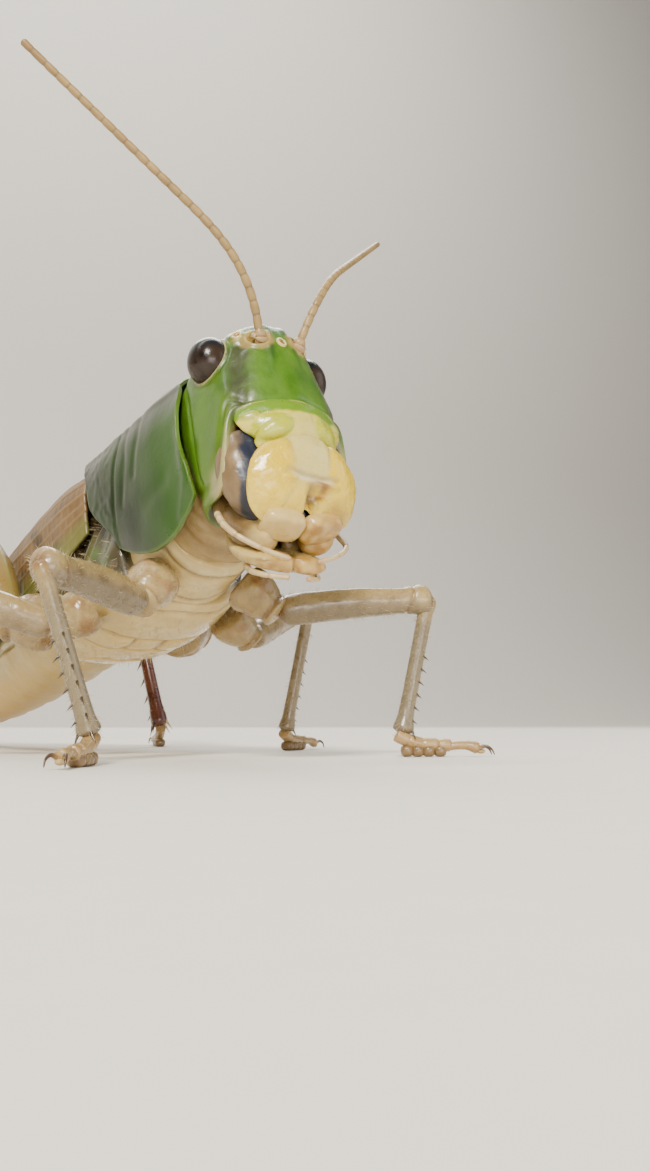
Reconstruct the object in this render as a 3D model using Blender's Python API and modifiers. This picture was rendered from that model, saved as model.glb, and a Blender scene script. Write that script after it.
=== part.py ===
"""Life-size standing model of an adult female migratory locust, for Blender 4.5.

The animal faces -Y, its left side is +X and its six feet stand on Z = 0. Sizes are in metres.
The body is laid out level, with Y = 0 at the face and Z = 0 at mid height of the trunk, and is
then pitched nose up and lifted onto the legs. Every leg is worked out from its hip and its foot.
"""

import math

import bmesh
import bpy
from mathutils import Matrix, Vector

MM = 0.001

# Driving dimensions
BODY_PITCH = math.radians(13)  # nose up
BODY_HEIGHT = 16.4 * MM  # of the face's mid height over the floor
HEAD_RAISE = math.radians(19)  # of the head on the neck
HEAD_PRESS = 0.9  # how much flatter the head is made, from crown to chin
NECK_PIVOT = Vector((0, 7.2, 0.3)) * MM
HEAD_SHEAR = 0.47  # slope of the mouth opening from front to back
EYE_CENTRE = Vector((2.85, 2.15, 2.55)) * MM
EYE_RADII = Vector((1.08, 1.12, 1.36)) * MM
PRONOTUM_FRONT = 7.0 * MM
PRONOTUM_BACK = 17.9 * MM
PRONOTUM_SHOULDER = 0.56  # share of the way from the keel to the lower edge of a lobe
ABDOMEN_FRONT = 24.35 * MM
ABDOMEN_BACK = 49.6 * MM
ABDOMEN_SEGMENTS = 8
WING_FRONT = 15.9 * MM
WING_BACK = 61.0 * MM
WING_OVERLAP = 0.62 * MM  # rise of the left wing over the right one
SHEET_THICKNESS = 0.5 * MM
ANTENNA_LENGTH = 17.5 * MM
ANTENNA_RADIUS = 0.27 * MM
PALP_RADIUS = 0.22 * MM
GAP = 0.12 * MM  # between neighbouring pieces

# One row for each pair of legs: joints of the left leg on the level body, then lengths
LEGS = {
    "fore": {
        "coxa": (Vector((2.7, 10.9, -4.7)) * MM, Vector((4.1, 10.2, -6.3)) * MM),
        "coxa_radii": (1.35 * MM, 0.95 * MM),
        "femur": 8.8 * MM,
        "tibia": 7.8 * MM,
        "tarsus": 4.7 * MM,
        "ankle_height": 1.25 * MM,
        "knee_lean": Vector((0.55, -0.15, 1.0)),
    },
    "mid": {
        "coxa": (Vector((4.4, 15.9, -4.9)) * MM, Vector((6.1, 16.4, -5.9)) * MM),
        "coxa_radii": (1.35 * MM, 0.95 * MM),
        "femur": 9.6 * MM,
        "tibia": 8.8 * MM,
        "tarsus": 5.0 * MM,
        "ankle_height": 1.25 * MM,
        "knee_lean": Vector((0.45, 0.1, 1.0)),
    },
    "hind": {
        "coxa": (Vector((4.3, 22.0, -3.8)) * MM, Vector((6.3, 23.4, -3.3)) * MM),
        "coxa_radii": (1.75 * MM, 1.3 * MM),
        "femur": 25.0 * MM,
        "tibia": 21.5 * MM,
        "tarsus": 7.4 * MM,
        "ankle_height": 1.5 * MM,
        "knee_lean": Vector((0.08, 0.8, 1.0)),
    },
}

# Where each ankle stands on the floor, and which way its foot points
FEET = {
    ("fore", "right"): (Vector((-8.8, 3.2, 0)) * MM, Vector((-0.62, -0.78, 0))),
    ("fore", "left"): (Vector((10.4, 5.4, 0)) * MM, Vector((0.84, -0.54, 0))),
    ("mid", "right"): (Vector((-13.2, 18.8, 0)) * MM, Vector((-0.94, 0.34, 0))),
    ("mid", "left"): (Vector((12.6, 20.6, 0)) * MM, Vector((0.86, 0.51, 0))),
    ("hind", "right"): (Vector((-10.8, 38.6, 0)) * MM, Vector((-0.30, 0.95, 0))),
    ("hind", "left"): (Vector((11.4, 37.0, 0)) * MM, Vector((0.38, 0.92, 0))),
}
KNEE_OF_HIND = {"right": Vector((-9.2, 44.2, 21.3)) * MM, "left": Vector((9.4, 43.6, 21.6)) * MM}

COLOURS = {
    "green": (0.14, 0.32, 0.03),
    "cream": (0.72, 0.55, 0.30),
    "tan": (0.52, 0.38, 0.25),
    "brown": (0.20, 0.12, 0.06),
    "blue_black": (0.03, 0.05, 0.10),
    "eye_grey": (0.07, 0.05, 0.05),
    "claw": (0.10, 0.04, 0.02),
}


def clear_scene():
    for obj in list(bpy.data.objects):
        bpy.data.objects.remove(obj)
    parts = bpy.data.collections.new("locust")
    cutters = bpy.data.collections.new("cutters")
    cutters.hide_render = True
    for collection in (parts, cutters):
        bpy.context.scene.collection.children.link(collection)
    return parts, cutters


def make_materials():
    made = {}
    for name, colour in COLOURS.items():
        made[name] = bpy.data.materials.new(name)
        made[name].use_nodes = True
        shader = made[name].node_tree.nodes["Principled BSDF"]
        shader.inputs["Base Color"].default_value = (*colour, 1)
        shader.inputs["Roughness"].default_value = 0.4
        shader.inputs["Metallic"].default_value = 0
    return made


PARTS, CUTTERS = clear_scene()
MATERIALS = make_materials()


def empty(name, parent=None, matrix=None):
    obj = bpy.data.objects.new(name, None)
    PARTS.objects.link(obj)
    obj.parent = parent
    obj.matrix_local = matrix or Matrix.Identity(4)
    return obj


def add_part(name, mesh_or_curve, colour, parent, matrix=None):
    obj = bpy.data.objects.new(name, mesh_or_curve)
    obj.data.materials.append(MATERIALS[colour])
    PARTS.objects.link(obj)
    obj.parent = parent
    obj.matrix_local = matrix or Matrix.Identity(4)
    return obj


def smooth(low, high, value):
    """0 below low, 1 above high, and an S curve between."""
    share = min(1.0, max(0.0, (value - low) / (high - low)))
    return share * share * (3 - 2 * share)


def signed_power(value, power):
    return math.copysign(abs(value) ** power, value)


def sample(rows, at):
    """The values of a short table at a station, on a smooth curve through its rows."""
    last = len(rows) - 1
    i = max(k for k in range(last) if rows[k][0] <= at or k == 0)
    before, here, there, after = (rows[max(0, i - 1)], rows[i], rows[i + 1], rows[min(last, i + 2)])
    span = there[0] - here[0]
    t = min(1.0, max(0.0, (at - here[0]) / span))
    values = []
    for k in range(1, len(here)):
        slope_here = (there[k] - before[k]) / (there[0] - before[0])
        slope_there = (after[k] - here[k]) / (after[0] - here[0])
        values.append(
            (2 * t**3 - 3 * t**2 + 1) * here[k]
            + (t**3 - 2 * t**2 + t) * span * slope_here
            + (3 * t**2 - 2 * t**3) * there[k]
            + (t**3 - t**2) * span * slope_there
        )
    return values


def stations(low, high, count):
    return [low + (high - low) * k / (count - 1) for k in range(count)]


def loft(rings, crescent=False):
    """A closed mesh through rings of the same number of points, each end closed by a fan, or by
    a strip where the ring is a crescent: a front arc, then a back arc of as many points."""
    bm = bmesh.new()
    made = [[bm.verts.new(point) for point in ring] for ring in rings]
    for lower, upper in zip(made, made[1:]):
        for k in range(len(lower)):
            j = (k + 1) % len(lower)
            bm.faces.new((lower[k], lower[j], upper[j], upper[k]))
    for ring in (made[0], made[-1]):
        if crescent:
            for k in range(len(ring) // 2 - 1):
                bm.faces.new((ring[k], ring[k + 1], ring[-2 - k], ring[-1 - k]))
        else:
            middle = bm.verts.new(sum((v.co for v in ring), Vector()) / len(ring))
            for k in range(len(ring)):
                bm.faces.new((ring[k], ring[(k + 1) % len(ring)], middle))
    bmesh.ops.recalc_face_normals(bm, faces=bm.faces)
    if bm.calc_volume(signed=True) < 0:
        bmesh.ops.reverse_faces(bm, faces=bm.faces)
    return bm


def to_mesh(name, bm):
    mesh = bpy.data.meshes.new(name)
    bm.to_mesh(mesh)
    bm.free()
    mesh.shade_smooth()
    mesh.set_sharp_from_angle(angle=math.radians(35))
    return mesh


def sheet(name, columns, rows, place, colour, parent, thickness):
    """An open grid bent by place(u, v), with u and v from 0 to 1, and given a thickness inwards."""
    bm = bmesh.new()
    bmesh.ops.create_grid(bm, x_segments=columns, y_segments=rows, size=0.5)
    for vertex in bm.verts:
        vertex.co = place(vertex.co.x + 0.5, vertex.co.y + 0.5)
    obj = add_part(name, to_mesh(name, bm), colour, parent)
    wall = obj.modifiers.new("wall", "SOLIDIFY")
    wall.thickness = thickness
    wall.offset = -1
    wall.use_even_offset = True
    return obj


def tube(name, points, radius, colour, parent, tip_share=1.0):
    """A round wire through the points, thinning evenly to tip_share of its radius."""
    curve = bpy.data.curves.new(name, "CURVE")
    curve.dimensions = "3D"
    curve.bevel_depth = radius
    curve.bevel_resolution = 2
    curve.use_fill_caps = True
    spline = curve.splines.new("POLY")
    spline.points.add(len(points) - 1)
    for k, (target, point) in enumerate(zip(spline.points, points)):
        target.co = (*point, 1)
        target.radius = 1 - (1 - tip_share) * k / (len(points) - 1)
    obj = add_part(name, curve, colour, parent)
    # the caps are loose, so the wire becomes one welded mesh before anything is cut by it
    bpy.context.view_layer.update()
    mesh = bpy.data.meshes.new_from_object(obj.evaluated_get(bpy.context.evaluated_depsgraph_get()))
    bm = bmesh.new()
    bm.from_mesh(mesh)
    bmesh.ops.remove_doubles(bm, verts=bm.verts, dist=0.001 * MM)
    bmesh.ops.recalc_face_normals(bm, faces=bm.faces)
    bpy.data.objects.remove(obj)
    return add_part(name, to_mesh(name, bm), colour, parent)


def keep_clear(obj, other, gap=GAP):
    """Cuts from obj the space of other, grown by the gap, so that the two meet without touching."""
    bpy.context.view_layer.update()
    bm = bmesh.new()
    bm.from_mesh(other.data)
    bm.normal_update()
    for vertex in bm.verts:
        vertex.co += vertex.normal * gap
    cutter = bpy.data.objects.new(f"{obj.name}-less-{other.name}", to_mesh("cutter", bm))
    CUTTERS.objects.link(cutter)
    cutter.hide_render = True
    cutter.display_type = "WIRE"
    cutter.parent = other.parent
    cutter.matrix_local = other.matrix_local
    cut = obj.modifiers.new(cutter.name, "BOOLEAN")
    cut.operation = "DIFFERENCE"
    cut.solver = "EXACT"
    cut.object = cutter


def oval(half_width, top, bottom, boxiness, top_share, sides):
    """(x, z) points of a trunk section: boxiness under 1 squares it, top_share narrows its top."""
    middle, half_height = (top + bottom) / 2, (top - bottom) / 2
    points = []
    for k in range(sides):
        turn = math.tau * (k + 0.5) / sides
        up = signed_power(math.cos(turn), boxiness)
        out = signed_power(math.sin(turn), boxiness)
        narrowing = 1 - (1 - top_share) * smooth(-0.6, 1.0, up)
        points.append((half_width * out * narrowing, middle + half_height * up))
    return points


def trunk_rings(rows, count, boxiness, top_share, sides):
    """Upright rings along Y through a table of (y, half width, top, bottom), in millimetres."""
    rings = []
    for y in stations(rows[0][0], rows[-1][0], count):
        half_width, top, bottom = sample(rows, y)
        points = oval(half_width, top, bottom, boxiness, top_share, sides)
        rings.append([Vector((x, y, z)) * MM for x, z in points])
    return rings


# ---- head -------------------------------------------------------------------------------------

HEAD_LEVELS = (  # z, half width, front y, back y
    (-1.75, 3.85, 0.50, 7.0),
    (-0.5, 3.75, 0.25, 7.3),
    (0.9, 3.45, 0.08, 7.4),
    (2.15, 3.25, 0.00, 7.4),
    (3.3, 2.95, 0.05, 7.1),
    (4.05, 2.30, 0.40, 6.6),
    (4.5, 1.50, 1.10, 5.8),
    (4.7, 0.45, 2.40, 4.6),
)


def head_ring(level, sides=16):
    half_width, front, back = sample(HEAD_LEVELS, level)
    middle, depth = (front + back) / 2, (back - front) / 2
    shear = HEAD_SHEAR * (1 - smooth(-1.75, 2.2, level))
    ring = []
    for k in range(sides):
        turn = math.tau * k / sides
        x = half_width * signed_power(math.sin(turn), 0.85)
        y = middle - depth * signed_power(math.cos(turn), 0.85)
        y -= 0.22 * math.exp(-((x / 0.9) ** 2)) * (math.cos(turn) > 0)  # frontal ridge
        ring.append(Vector((x, y, level - shear * (y - front))) * MM)
    return ring


def make_head(parent):
    levels = [-1.75, -1.0, -0.2, 0.7, 1.6, 2.5, 3.3, 3.85, 4.3, 4.55, 4.7]
    head = add_part("head", to_mesh("head", loft([head_ring(z) for z in levels])), "green", parent)
    for side, name in ((-1, "right"), (1, "left")):
        bm = bmesh.new()
        bmesh.ops.create_uvsphere(bm, u_segments=12, v_segments=7, radius=1)
        for vertex in bm.verts:
            vertex.co = Vector(a * b for a, b in zip(vertex.co, EYE_RADII))
        nod = Matrix.Rotation(math.radians(14), 4, "X")
        lean = nod @ Matrix.Rotation(side * math.radians(-8), 4, "Y")
        place = Matrix.Translation(Vector((side * EYE_CENTRE.x, EYE_CENTRE.y, EYE_CENTRE.z))) @ lean
        eye = add_part(f"eye_{name}", to_mesh(f"eye_{name}", bm), "eye_grey", parent, place)
        keep_clear(head, eye, 0.06 * MM)
    return head


def plate_ring(level, half_width, front, depth, bow, sides=6):
    """A crescent, sloped like the mouth opening: a front arc from right to left, then a back arc."""
    arcs = []
    for shrink, behind in ((1, 0), (0.96, depth)):
        arc = []
        for x in stations(-half_width, half_width, sides):
            y = front + behind + bow * (x / half_width) ** 2
            arc.append(Vector((x * shrink, y, level - HEAD_SHEAR * (y - front))) * MM)
        arcs.append(arc)
    return arcs[0] + arcs[1][::-1]


def make_plate(name, rows, bow, count, colour, parent):
    """An upright plate of the face through a table of (z, half width, front y, depth)."""
    rings = [plate_ring(z, *sample(rows, z), bow) for z in stations(rows[0][0], rows[-1][0], count)]
    return add_part(name, to_mesh(name, loft(rings, crescent=True)), colour, parent)


def jaw_ring(level, inner, outer, front, back, sheared_from, sides=8):
    """A section of one jaw of a pair: from the midline out, sheared like the mouth opening."""
    half, centre = (outer - inner) / 2, (outer + inner) / 2
    ring = []
    for k in range(sides):
        turn = math.tau * k / sides
        x = centre + half * signed_power(math.sin(turn), 0.8)
        y = (front + back) / 2 - (back - front) / 2 * signed_power(math.cos(turn), 0.8)
        ring.append(Vector((x, y, level - HEAD_SHEAR * (y - sheared_from))) * MM)
    return ring


def make_jaw(name, side, rows, sheared_from, colour, parent):
    """One of a pair of jaws through a table of (z, outer x, front y, back y)."""
    rings = []
    for z in stations(rows[0][0], rows[-1][0], 6):
        outer, front, back = sample(rows, z)
        rings.append(jaw_ring(z, 0.1, outer, front, back, sheared_from))
    mirror = Matrix.Diagonal((side, 1, 1, 1))
    rings = [[mirror @ point for point in ring] for ring in rings]
    return add_part(name, to_mesh(name, loft(rings)), colour, parent)


def make_mouth(parent):
    clypeus_rows = ((-3.75, 2.5, 0.50, 0.85), (-2.8, 2.85, 0.36, 0.9), (-1.9, 3.0, 0.34, 0.9))
    clypeus = make_plate("clypeus", clypeus_rows, 0.95, 4, "cream", parent)
    labrum_rows = (
        (-7.4, 1.6, 2.35, 0.6),
        (-6.8, 2.5, 1.75, 0.85),
        (-5.6, 2.95, 1.05, 1.0),
        (-4.5, 2.85, 0.62, 1.0),
        (-3.87, 2.4, 0.58, 0.85),
    )
    labrum = make_plate("labrum", labrum_rows, 0.85, 7, "cream", parent)
    mandible_rows = (
        (-5.6, 1.7, 3.1, 3.9),
        (-5.0, 2.9, 2.55, 4.3),
        (-4.2, 3.4, 2.2, 4.4),
        (-3.0, 3.6, 2.0, 4.45),
        (-2.0, 3.55, 1.75, 4.4),
    )
    maxilla_rows = (
        (-5.4, 1.5, 4.85, 5.5),
        (-4.6, 2.5, 4.65, 5.8),
        (-3.2, 2.9, 4.6, 5.95),
        (-2.0, 2.9, 4.6, 5.9),
    )
    outer_palp = (
        (3.15, 5.0, -5.7),
        (3.3, 4.6, -6.9),
        (3.05, 4.2, -8.0),
        (2.1, 4.0, -8.9),
        (0.75, 3.95, -9.5),
    )
    inner_palp = ((1.7, 6.0, -8.1), (1.85, 5.6, -8.9), (1.3, 5.1, -9.6), (0.5, 4.75, -9.95))
    for side, name in ((-1, "right"), (1, "left")):
        mandible = make_jaw(f"mandible_{name}", side, mandible_rows, 0.75, "blue_black", parent)
        keep_clear(mandible, labrum)
        keep_clear(mandible, clypeus)
        make_jaw(f"maxilla_{name}", side, maxilla_rows, 0.75, "cream", parent)
        palp = [Vector((side * x, y, z)) * MM for x, y, z in outer_palp]
        tube(f"maxillary_palp_{name}", palp, PALP_RADIUS, "cream", parent)
        palp = [Vector((side * x, y, z)) * MM for x, y, z in inner_palp]
        tube(f"labial_palp_{name}", palp, PALP_RADIUS, "cream", parent)
    labium_rows = ((-8.1, 1.9, 6.25, 0.75), (-6.8, 2.3, 6.1, 0.85), (-5.0, 1.9, 6.05, 0.8))
    make_plate("labium", labium_rows, 0.05, 4, "cream", parent)


def antenna_points(side, out, forward, up, droop):
    """A feeler that leaves its socket steeply and bends outwards along its length."""
    root = Vector((side * 1.15, -0.12, 2.5)) * MM
    aim = Vector((side * out, -forward, up)).normalized()
    start = Vector((side * 0.25, -0.75, 0.75)).normalized()
    points = [root]
    steps = 13
    for k in range(steps):
        share = smooth(-0.1, 0.45, (k + 0.5) / steps)
        heading = start.lerp(aim, share)
        heading.z -= droop * (k / steps) ** 2
        points.append(points[-1] + heading.normalized() * ANTENNA_LENGTH / steps)
    return points


def make_antennae(parent, head):
    aims = {"right": (-1, 0.86, 0.24, 0.66, 0.0), "left": (1, 0.63, -0.16, 0.76, 0.0)}
    for name, (side, out, forward, up, droop) in aims.items():
        points = antenna_points(side, out, forward, up, droop)
        antenna = tube(f"antenna_{name}", points, ANTENNA_RADIUS, "tan", parent, 0.93)
        keep_clear(head, antenna, 0.08 * MM)


# ---- trunk ------------------------------------------------------------------------------------


PRONOTUM_ROWS = (  # y, half width, top
    (6.2, 3.85, 5.55),
    (8.0, 4.05, 5.5),
    (12.4, 4.35, 5.35),
    (17.9, 4.75, 5.75),
)


def pronotum_point(u, v):
    """The saddle over the prothorax: u runs from the right lobe over the back to the left lobe,
    v from the front margin to the hind one, which is drawn out to a blunt angle on the back."""
    across = 2 * u - 1
    fall = abs(across)
    front = PRONOTUM_FRONT / MM - 0.75 * smooth(0.25, 0.75, fall)
    back = PRONOTUM_BACK / MM - 3.2 * smooth(0.0, 0.62, fall) - 2.2 * smooth(0.5, 1.0, fall)
    y = front + (back - front) * v
    half_width, top = sample(PRONOTUM_ROWS, y)
    if fall < PRONOTUM_SHOULDER:
        turn = fall / PRONOTUM_SHOULDER * math.pi / 2
        x = half_width * math.sin(turn) ** 0.8
        z = 0.6 + (top - 0.6) * max(0.0, math.cos(turn)) ** 0.75
    else:
        drop = (fall - PRONOTUM_SHOULDER) / (1 - PRONOTUM_SHOULDER)
        bottom = -2.6 - 1.5 * math.sin(math.pi * min(1.0, max(0.0, v)) ** 0.9)
        x = half_width * (1 - 0.10 * drop**2)
        z = 0.6 + (bottom - 0.6) * drop
    z += 0.28 * math.exp(-((x / 0.45) ** 2))  # median keel
    return Vector((math.copysign(x, across), y, z)) * MM


def make_trunk(parent):
    neck_rows = ((5.9, 2.5, 2.2, -3.6), (7.3, 2.85, 3.5, -4.05), (8.7, 3.05, 3.9, -4.4))
    rings = trunk_rings(neck_rows, 4, 0.85, 0.85, 16)
    neck = add_part("neck", to_mesh("neck", loft(rings)), "cream", parent)
    chest_rows = ((8.85, 3.1, 3.9, -4.6), (10.5, 3.3, 4.1, -5.1), (12.5, 3.45, 4.0, -5.4))
    rings = trunk_rings(chest_rows, 5, 0.8, 0.85, 16)
    chest = add_part("prothorax", to_mesh("prothorax", loft(rings)), "cream", parent)
    sheet("pronotum", 14, 7, pronotum_point, "green", parent, 0.5 * MM)
    thorax_rows = (
        (12.65, 3.85, 3.2, -5.35),
        (14.2, 4.4, 3.3, -5.9),
        (17.5, 4.75, 3.2, -6.15),
        (20.5, 4.65, 3.0, -6.1),
        (22.8, 4.2, 2.8, -5.85),
        (24.2, 3.6, 2.6, -5.5),
    )
    rings = trunk_rings(thorax_rows, 8, 0.68, 0.62, 18)
    thorax = add_part("thorax", to_mesh("thorax", loft(rings)), "cream", parent)
    return neck, chest, thorax


ABDOMEN_ROWS = (  # y, half width, top, bottom
    (24.35, 3.35, 2.5, -5.35),
    (30.0, 3.45, 2.45, -5.3),
    (38.0, 3.25, 2.0, -5.0),
    (45.0, 2.75, 1.3, -4.45),
    (49.6, 2.0, 0.55, -3.8),
)


def make_abdomen(parent):
    rings = []
    length = (ABDOMEN_BACK - ABDOMEN_FRONT) / MM / ABDOMEN_SEGMENTS
    for segment in range(ABDOMEN_SEGMENTS):
        start = ABDOMEN_FRONT / MM + segment * length
        for share, grow in ((0.0, -0.1), (0.93, 0.12)):
            half_width, top, bottom = sample(ABDOMEN_ROWS, start + share * length)
            points = oval(half_width + grow, top + grow, bottom - grow, 0.86, 0.8, 16)
            rings.append([Vector((x, start + share * length, z)) * MM for x, z in points])
    add_part("abdomen", to_mesh("abdomen", loft(rings)), "cream", parent)


def make_tail(parent):
    """The last rings of the abdomen and the two pairs of short digging valves, with the cerci."""
    rows = ((49.3, 1.75, 0.25, -3.55), (50.6, 1.5, -0.1, -3.3), (51.4, 1.0, -0.5, -2.9))
    rings = trunk_rings(rows, 4, 0.9, 0.85, 12)
    tail = add_part("tail", to_mesh("tail", loft(rings)), "cream", parent)
    keep_clear(tail, bpy.data.objects["abdomen"])
    for name, top, bottom, lift in (("upper", -0.95, -1.75, 0.45), ("lower", -1.95, -2.75, -0.35)):
        rings = []
        for share in stations(0, 1, 4):
            half = 0.75 * (1 - 0.45 * share)
            height = (top - bottom) / 2 * (1 - 0.55 * share)
            middle = (top + bottom) / 2 + lift * share**2
            points = oval(half, middle + height, middle - height, 0.9, 1, 8)
            rings.append([Vector((x, 51.55 + 1.7 * share, z)) * MM for x, z in points])
        add_part(f"ovipositor_{name}", to_mesh(name, loft(rings)), "claw", parent)
    for side, name in ((-1, "right"), (1, "left")):
        middle = ((1.35, 51.3, -0.7), (1.5, 52.0, -0.6), (1.5, 52.6, -0.55))
        points = [Vector((side * x, y, z)) * MM for x, y, z in middle]
        cercus = tube(f"cercus_{name}", points, 0.27 * MM, "tan", parent, 0.8)
        keep_clear(tail, cercus)


# ---- wings ------------------------------------------------------------------------------------

WING_ROWS = (  # y, half width, lower edge, top
    (15.9, 4.2, -0.4, 3.85),
    (18.5, 4.75, -1.3, 4.35),
    (24.0, 4.85, -2.0, 4.4),
    (34.0, 4.4, -2.1, 3.95),
    (46.0, 3.5, -1.9, 3.1),
    (55.0, 2.5, -1.5, 2.3),
    (59.5, 1.5, -0.6, 1.6),
    (61.0, 0.75, 0.3, 1.0),
)


def tegmen_point(side, over):
    """One fore wing folded roof-like: u from its lower edge on the flank to its inner edge past
    the midline, v from base to tip. The left one lies over the right one."""

    def place(u, v):
        y = (WING_FRONT + (WING_BACK - WING_FRONT) * v) / MM
        half_width, low, top = sample(WING_ROWS, y)
        top += over * WING_OVERLAP / MM * smooth(0.35, 0.7, u)
        middle = low + (top - low) * 0.45
        if u < 0.3:
            x = half_width
            z = low + (middle - low) * u / 0.3
        elif u < 0.85:
            turn = (u - 0.3) / 0.55 * math.pi / 2
            x = half_width * max(0.0, math.cos(turn)) ** 0.8
            z = middle + (top - middle) * math.sin(turn) ** 0.8
        else:
            x = -0.22 * half_width * (u - 0.85) / 0.15
            z = top
        return Vector((side * x, y, z)) * MM

    return place


def make_wings(parent):
    for side, name, over in ((-1, "right", 0), (1, "left", 1)):
        wing = sheet(f"tegmen_{name}", 9, 11, tegmen_point(side, over), "brown", parent, SHEET_THICKNESS)
        if side > 0:  # a mirrored grid faces inwards
            wing.data.flip_normals()


# ---- legs -------------------------------------------------------------------------------------


def along(start, end, bend):
    """A frame at start with Z towards end and X as near to bend as it can be."""
    z = (end - start).normalized()
    x = (bend - z * bend.dot(z)).normalized()
    y = z.cross(x)
    return Matrix.Translation(start) @ Matrix((x, y, z)).transposed().to_4x4()


def limb(name, start, end, bend, rows, count, sides, colour, parent, spikes=None):
    """A leg piece through a table of (share of length, half depth, half thickness, offset), mm."""
    length = (end - start).length
    rings = []
    for share in stations(0, 1, count):
        depth, thickness, offset = sample(rows, share)
        ring = []
        for k in range(sides):
            turn = math.tau * (k + 0.5) / sides
            ring.append(Vector((
                (offset + depth * math.cos(turn)) * MM,
                thickness * math.sin(turn) * MM,
                share * length,
            )))
        rings.append(ring)
    bm = loft(rings)
    if spikes:
        spikes(bm)
    return add_part(name, to_mesh(name, bm), colour, parent, along(start, end, bend))


def grow_spike(bm, face, steps, side_step, taper):
    """Draws one face out to a thorn in a few steps, each moved by side_step and made smaller."""
    for _ in range(steps):
        face = bmesh.ops.extrude_discrete_faces(bm, faces=[face])["faces"][0]
        centre = face.calc_center_median()
        for vertex in face.verts:
            vertex.co = centre + (vertex.co - centre) * taper + side_step
    return face


def tibia_spikes(bm):
    """Two rows of short thorns on the back of a hind tibia, leaning towards the foot, and spurs."""
    bm.faces.ensure_lookup_table()
    rows = {}
    for face in bm.faces:
        centre = face.calc_center_median()
        if len(face.verts) == 4 and centre.x < -0.2 * MM and abs(centre.y) > 0.1 * MM:
            rows.setdefault((round(centre.z / MM, 3), centre.y > 0), face)
    places = sorted({z for z, _ in rows})
    for z in places[4::2]:
        for out in (True, False):
            face = rows.get((z, out))
            if face:
                lean = Vector((-0.62, 0.22 if out else -0.22, 0.35)) * MM
                grow_spike(bm, face, 1, lean, 0.35)


FEMUR_ROWS = (  # share of length, half depth, half thickness, offset
    (0.0, 0.80, 0.78, 0.0),
    (0.1, 0.88, 0.82, 0.0),
    (0.45, 0.86, 0.78, 0.08),
    (0.8, 0.78, 0.70, 0.0),
    (0.93, 0.88, 0.74, 0.0),
    (1.0, 0.55, 0.55, 0.0),
)
HIND_FEMUR_ROWS = (
    (0.0, 1.15, 1.0, 0.0),
    (0.07, 1.9, 1.35, 0.15),
    (0.2, 2.6, 1.55, 0.35),
    (0.38, 2.45, 1.45, 0.35),
    (0.58, 1.6, 1.1, 0.2),
    (0.78, 0.98, 0.8, 0.0),
    (0.88, 0.95, 0.75, 0.0),
    (0.95, 1.25, 0.85, -0.05),
    (1.0, 0.8, 0.6, -0.1),
)
TIBIA_ROWS = (
    (0.0, 0.45, 0.42, 0.0),
    (0.12, 0.50, 0.45, 0.0),
    (0.85, 0.46, 0.44, 0.0),
    (1.0, 0.58, 0.55, 0.0),
)
HIND_TIBIA_ROWS = (
    (0.0, 0.62, 0.5, 0.0),
    (0.06, 0.66, 0.55, 0.0),
    (0.5, 0.56, 0.52, 0.0),
    (1.0, 0.72, 0.66, 0.0),
)


def make_tarsus(name, ankle, heading, length, height, colour, parent):
    """A foot that lies flat on the floor: three padded pieces, a slender last one and two claws."""
    long = length / MM
    rings = []
    for share in stations(0, 1, 9):
        pads = 0.5 + 0.5 * math.cos(math.tau * 4 * share)
        slender = smooth(0.60, 0.74, share)
        half_width = (0.44 + 0.10 * pads) * (1 - slender) + 0.29 * slender
        half_width += 0.10 * smooth(0.9, 1, share)
        fall = smooth(0.05, 0.35, share)
        top = (height / MM - 0.05) * (1 - fall) + 0.82 * fall
        top = top * (1 - slender) + 0.72 * slender
        middle, half_height = top / 2 - 0.06, top / 2 + 0.06
        ring = []
        for k in range(8):
            turn = math.tau * (k + 0.5) / 8
            z = middle + half_height * signed_power(math.cos(turn), 0.8)
            x = half_width * signed_power(math.sin(turn), 0.8)
            ring.append(Vector((x, share * long - 0.45, max(0.0, z))) * MM)
        rings.append(ring)
    bm = loft(rings)
    for side in (1, -1):
        sides = [face for face in bm.faces if len(face.verts) == 4]
        sides.sort(key=lambda face: face.calc_center_median().y)
        face = max(sides[-8:], key=lambda face: side * face.calc_center_median().x)
        face = grow_spike(bm, face, 1, Vector((side * 0.22, 0.42, 0.08)) * MM, 0.7)
        grow_spike(bm, face, 1, Vector((side * 0.10, 0.50, -0.22)) * MM, 0.45)
    z = Vector((0, 0, 1))
    y = heading.normalized()
    x = y.cross(z)
    frame = Matrix.Translation(ankle) @ Matrix((x, y, z)).transposed().to_4x4()
    return add_part(name, to_mesh(name, bm), colour, parent, frame)


def knee_of(hip, ankle, femur, tibia, lean):
    """Where the knee is, for both lengths to fit, on the side that lean points to."""
    reach = ankle - hip
    distance = reach.length
    axis = reach / distance
    foot_of_height = (femur**2 - tibia**2 + distance**2) / (2 * distance)
    height = math.sqrt(max(0.0, femur**2 - foot_of_height**2))
    side = (lean - axis * lean.dot(axis)).normalized()
    return hip + axis * foot_of_height + side * height


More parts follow.
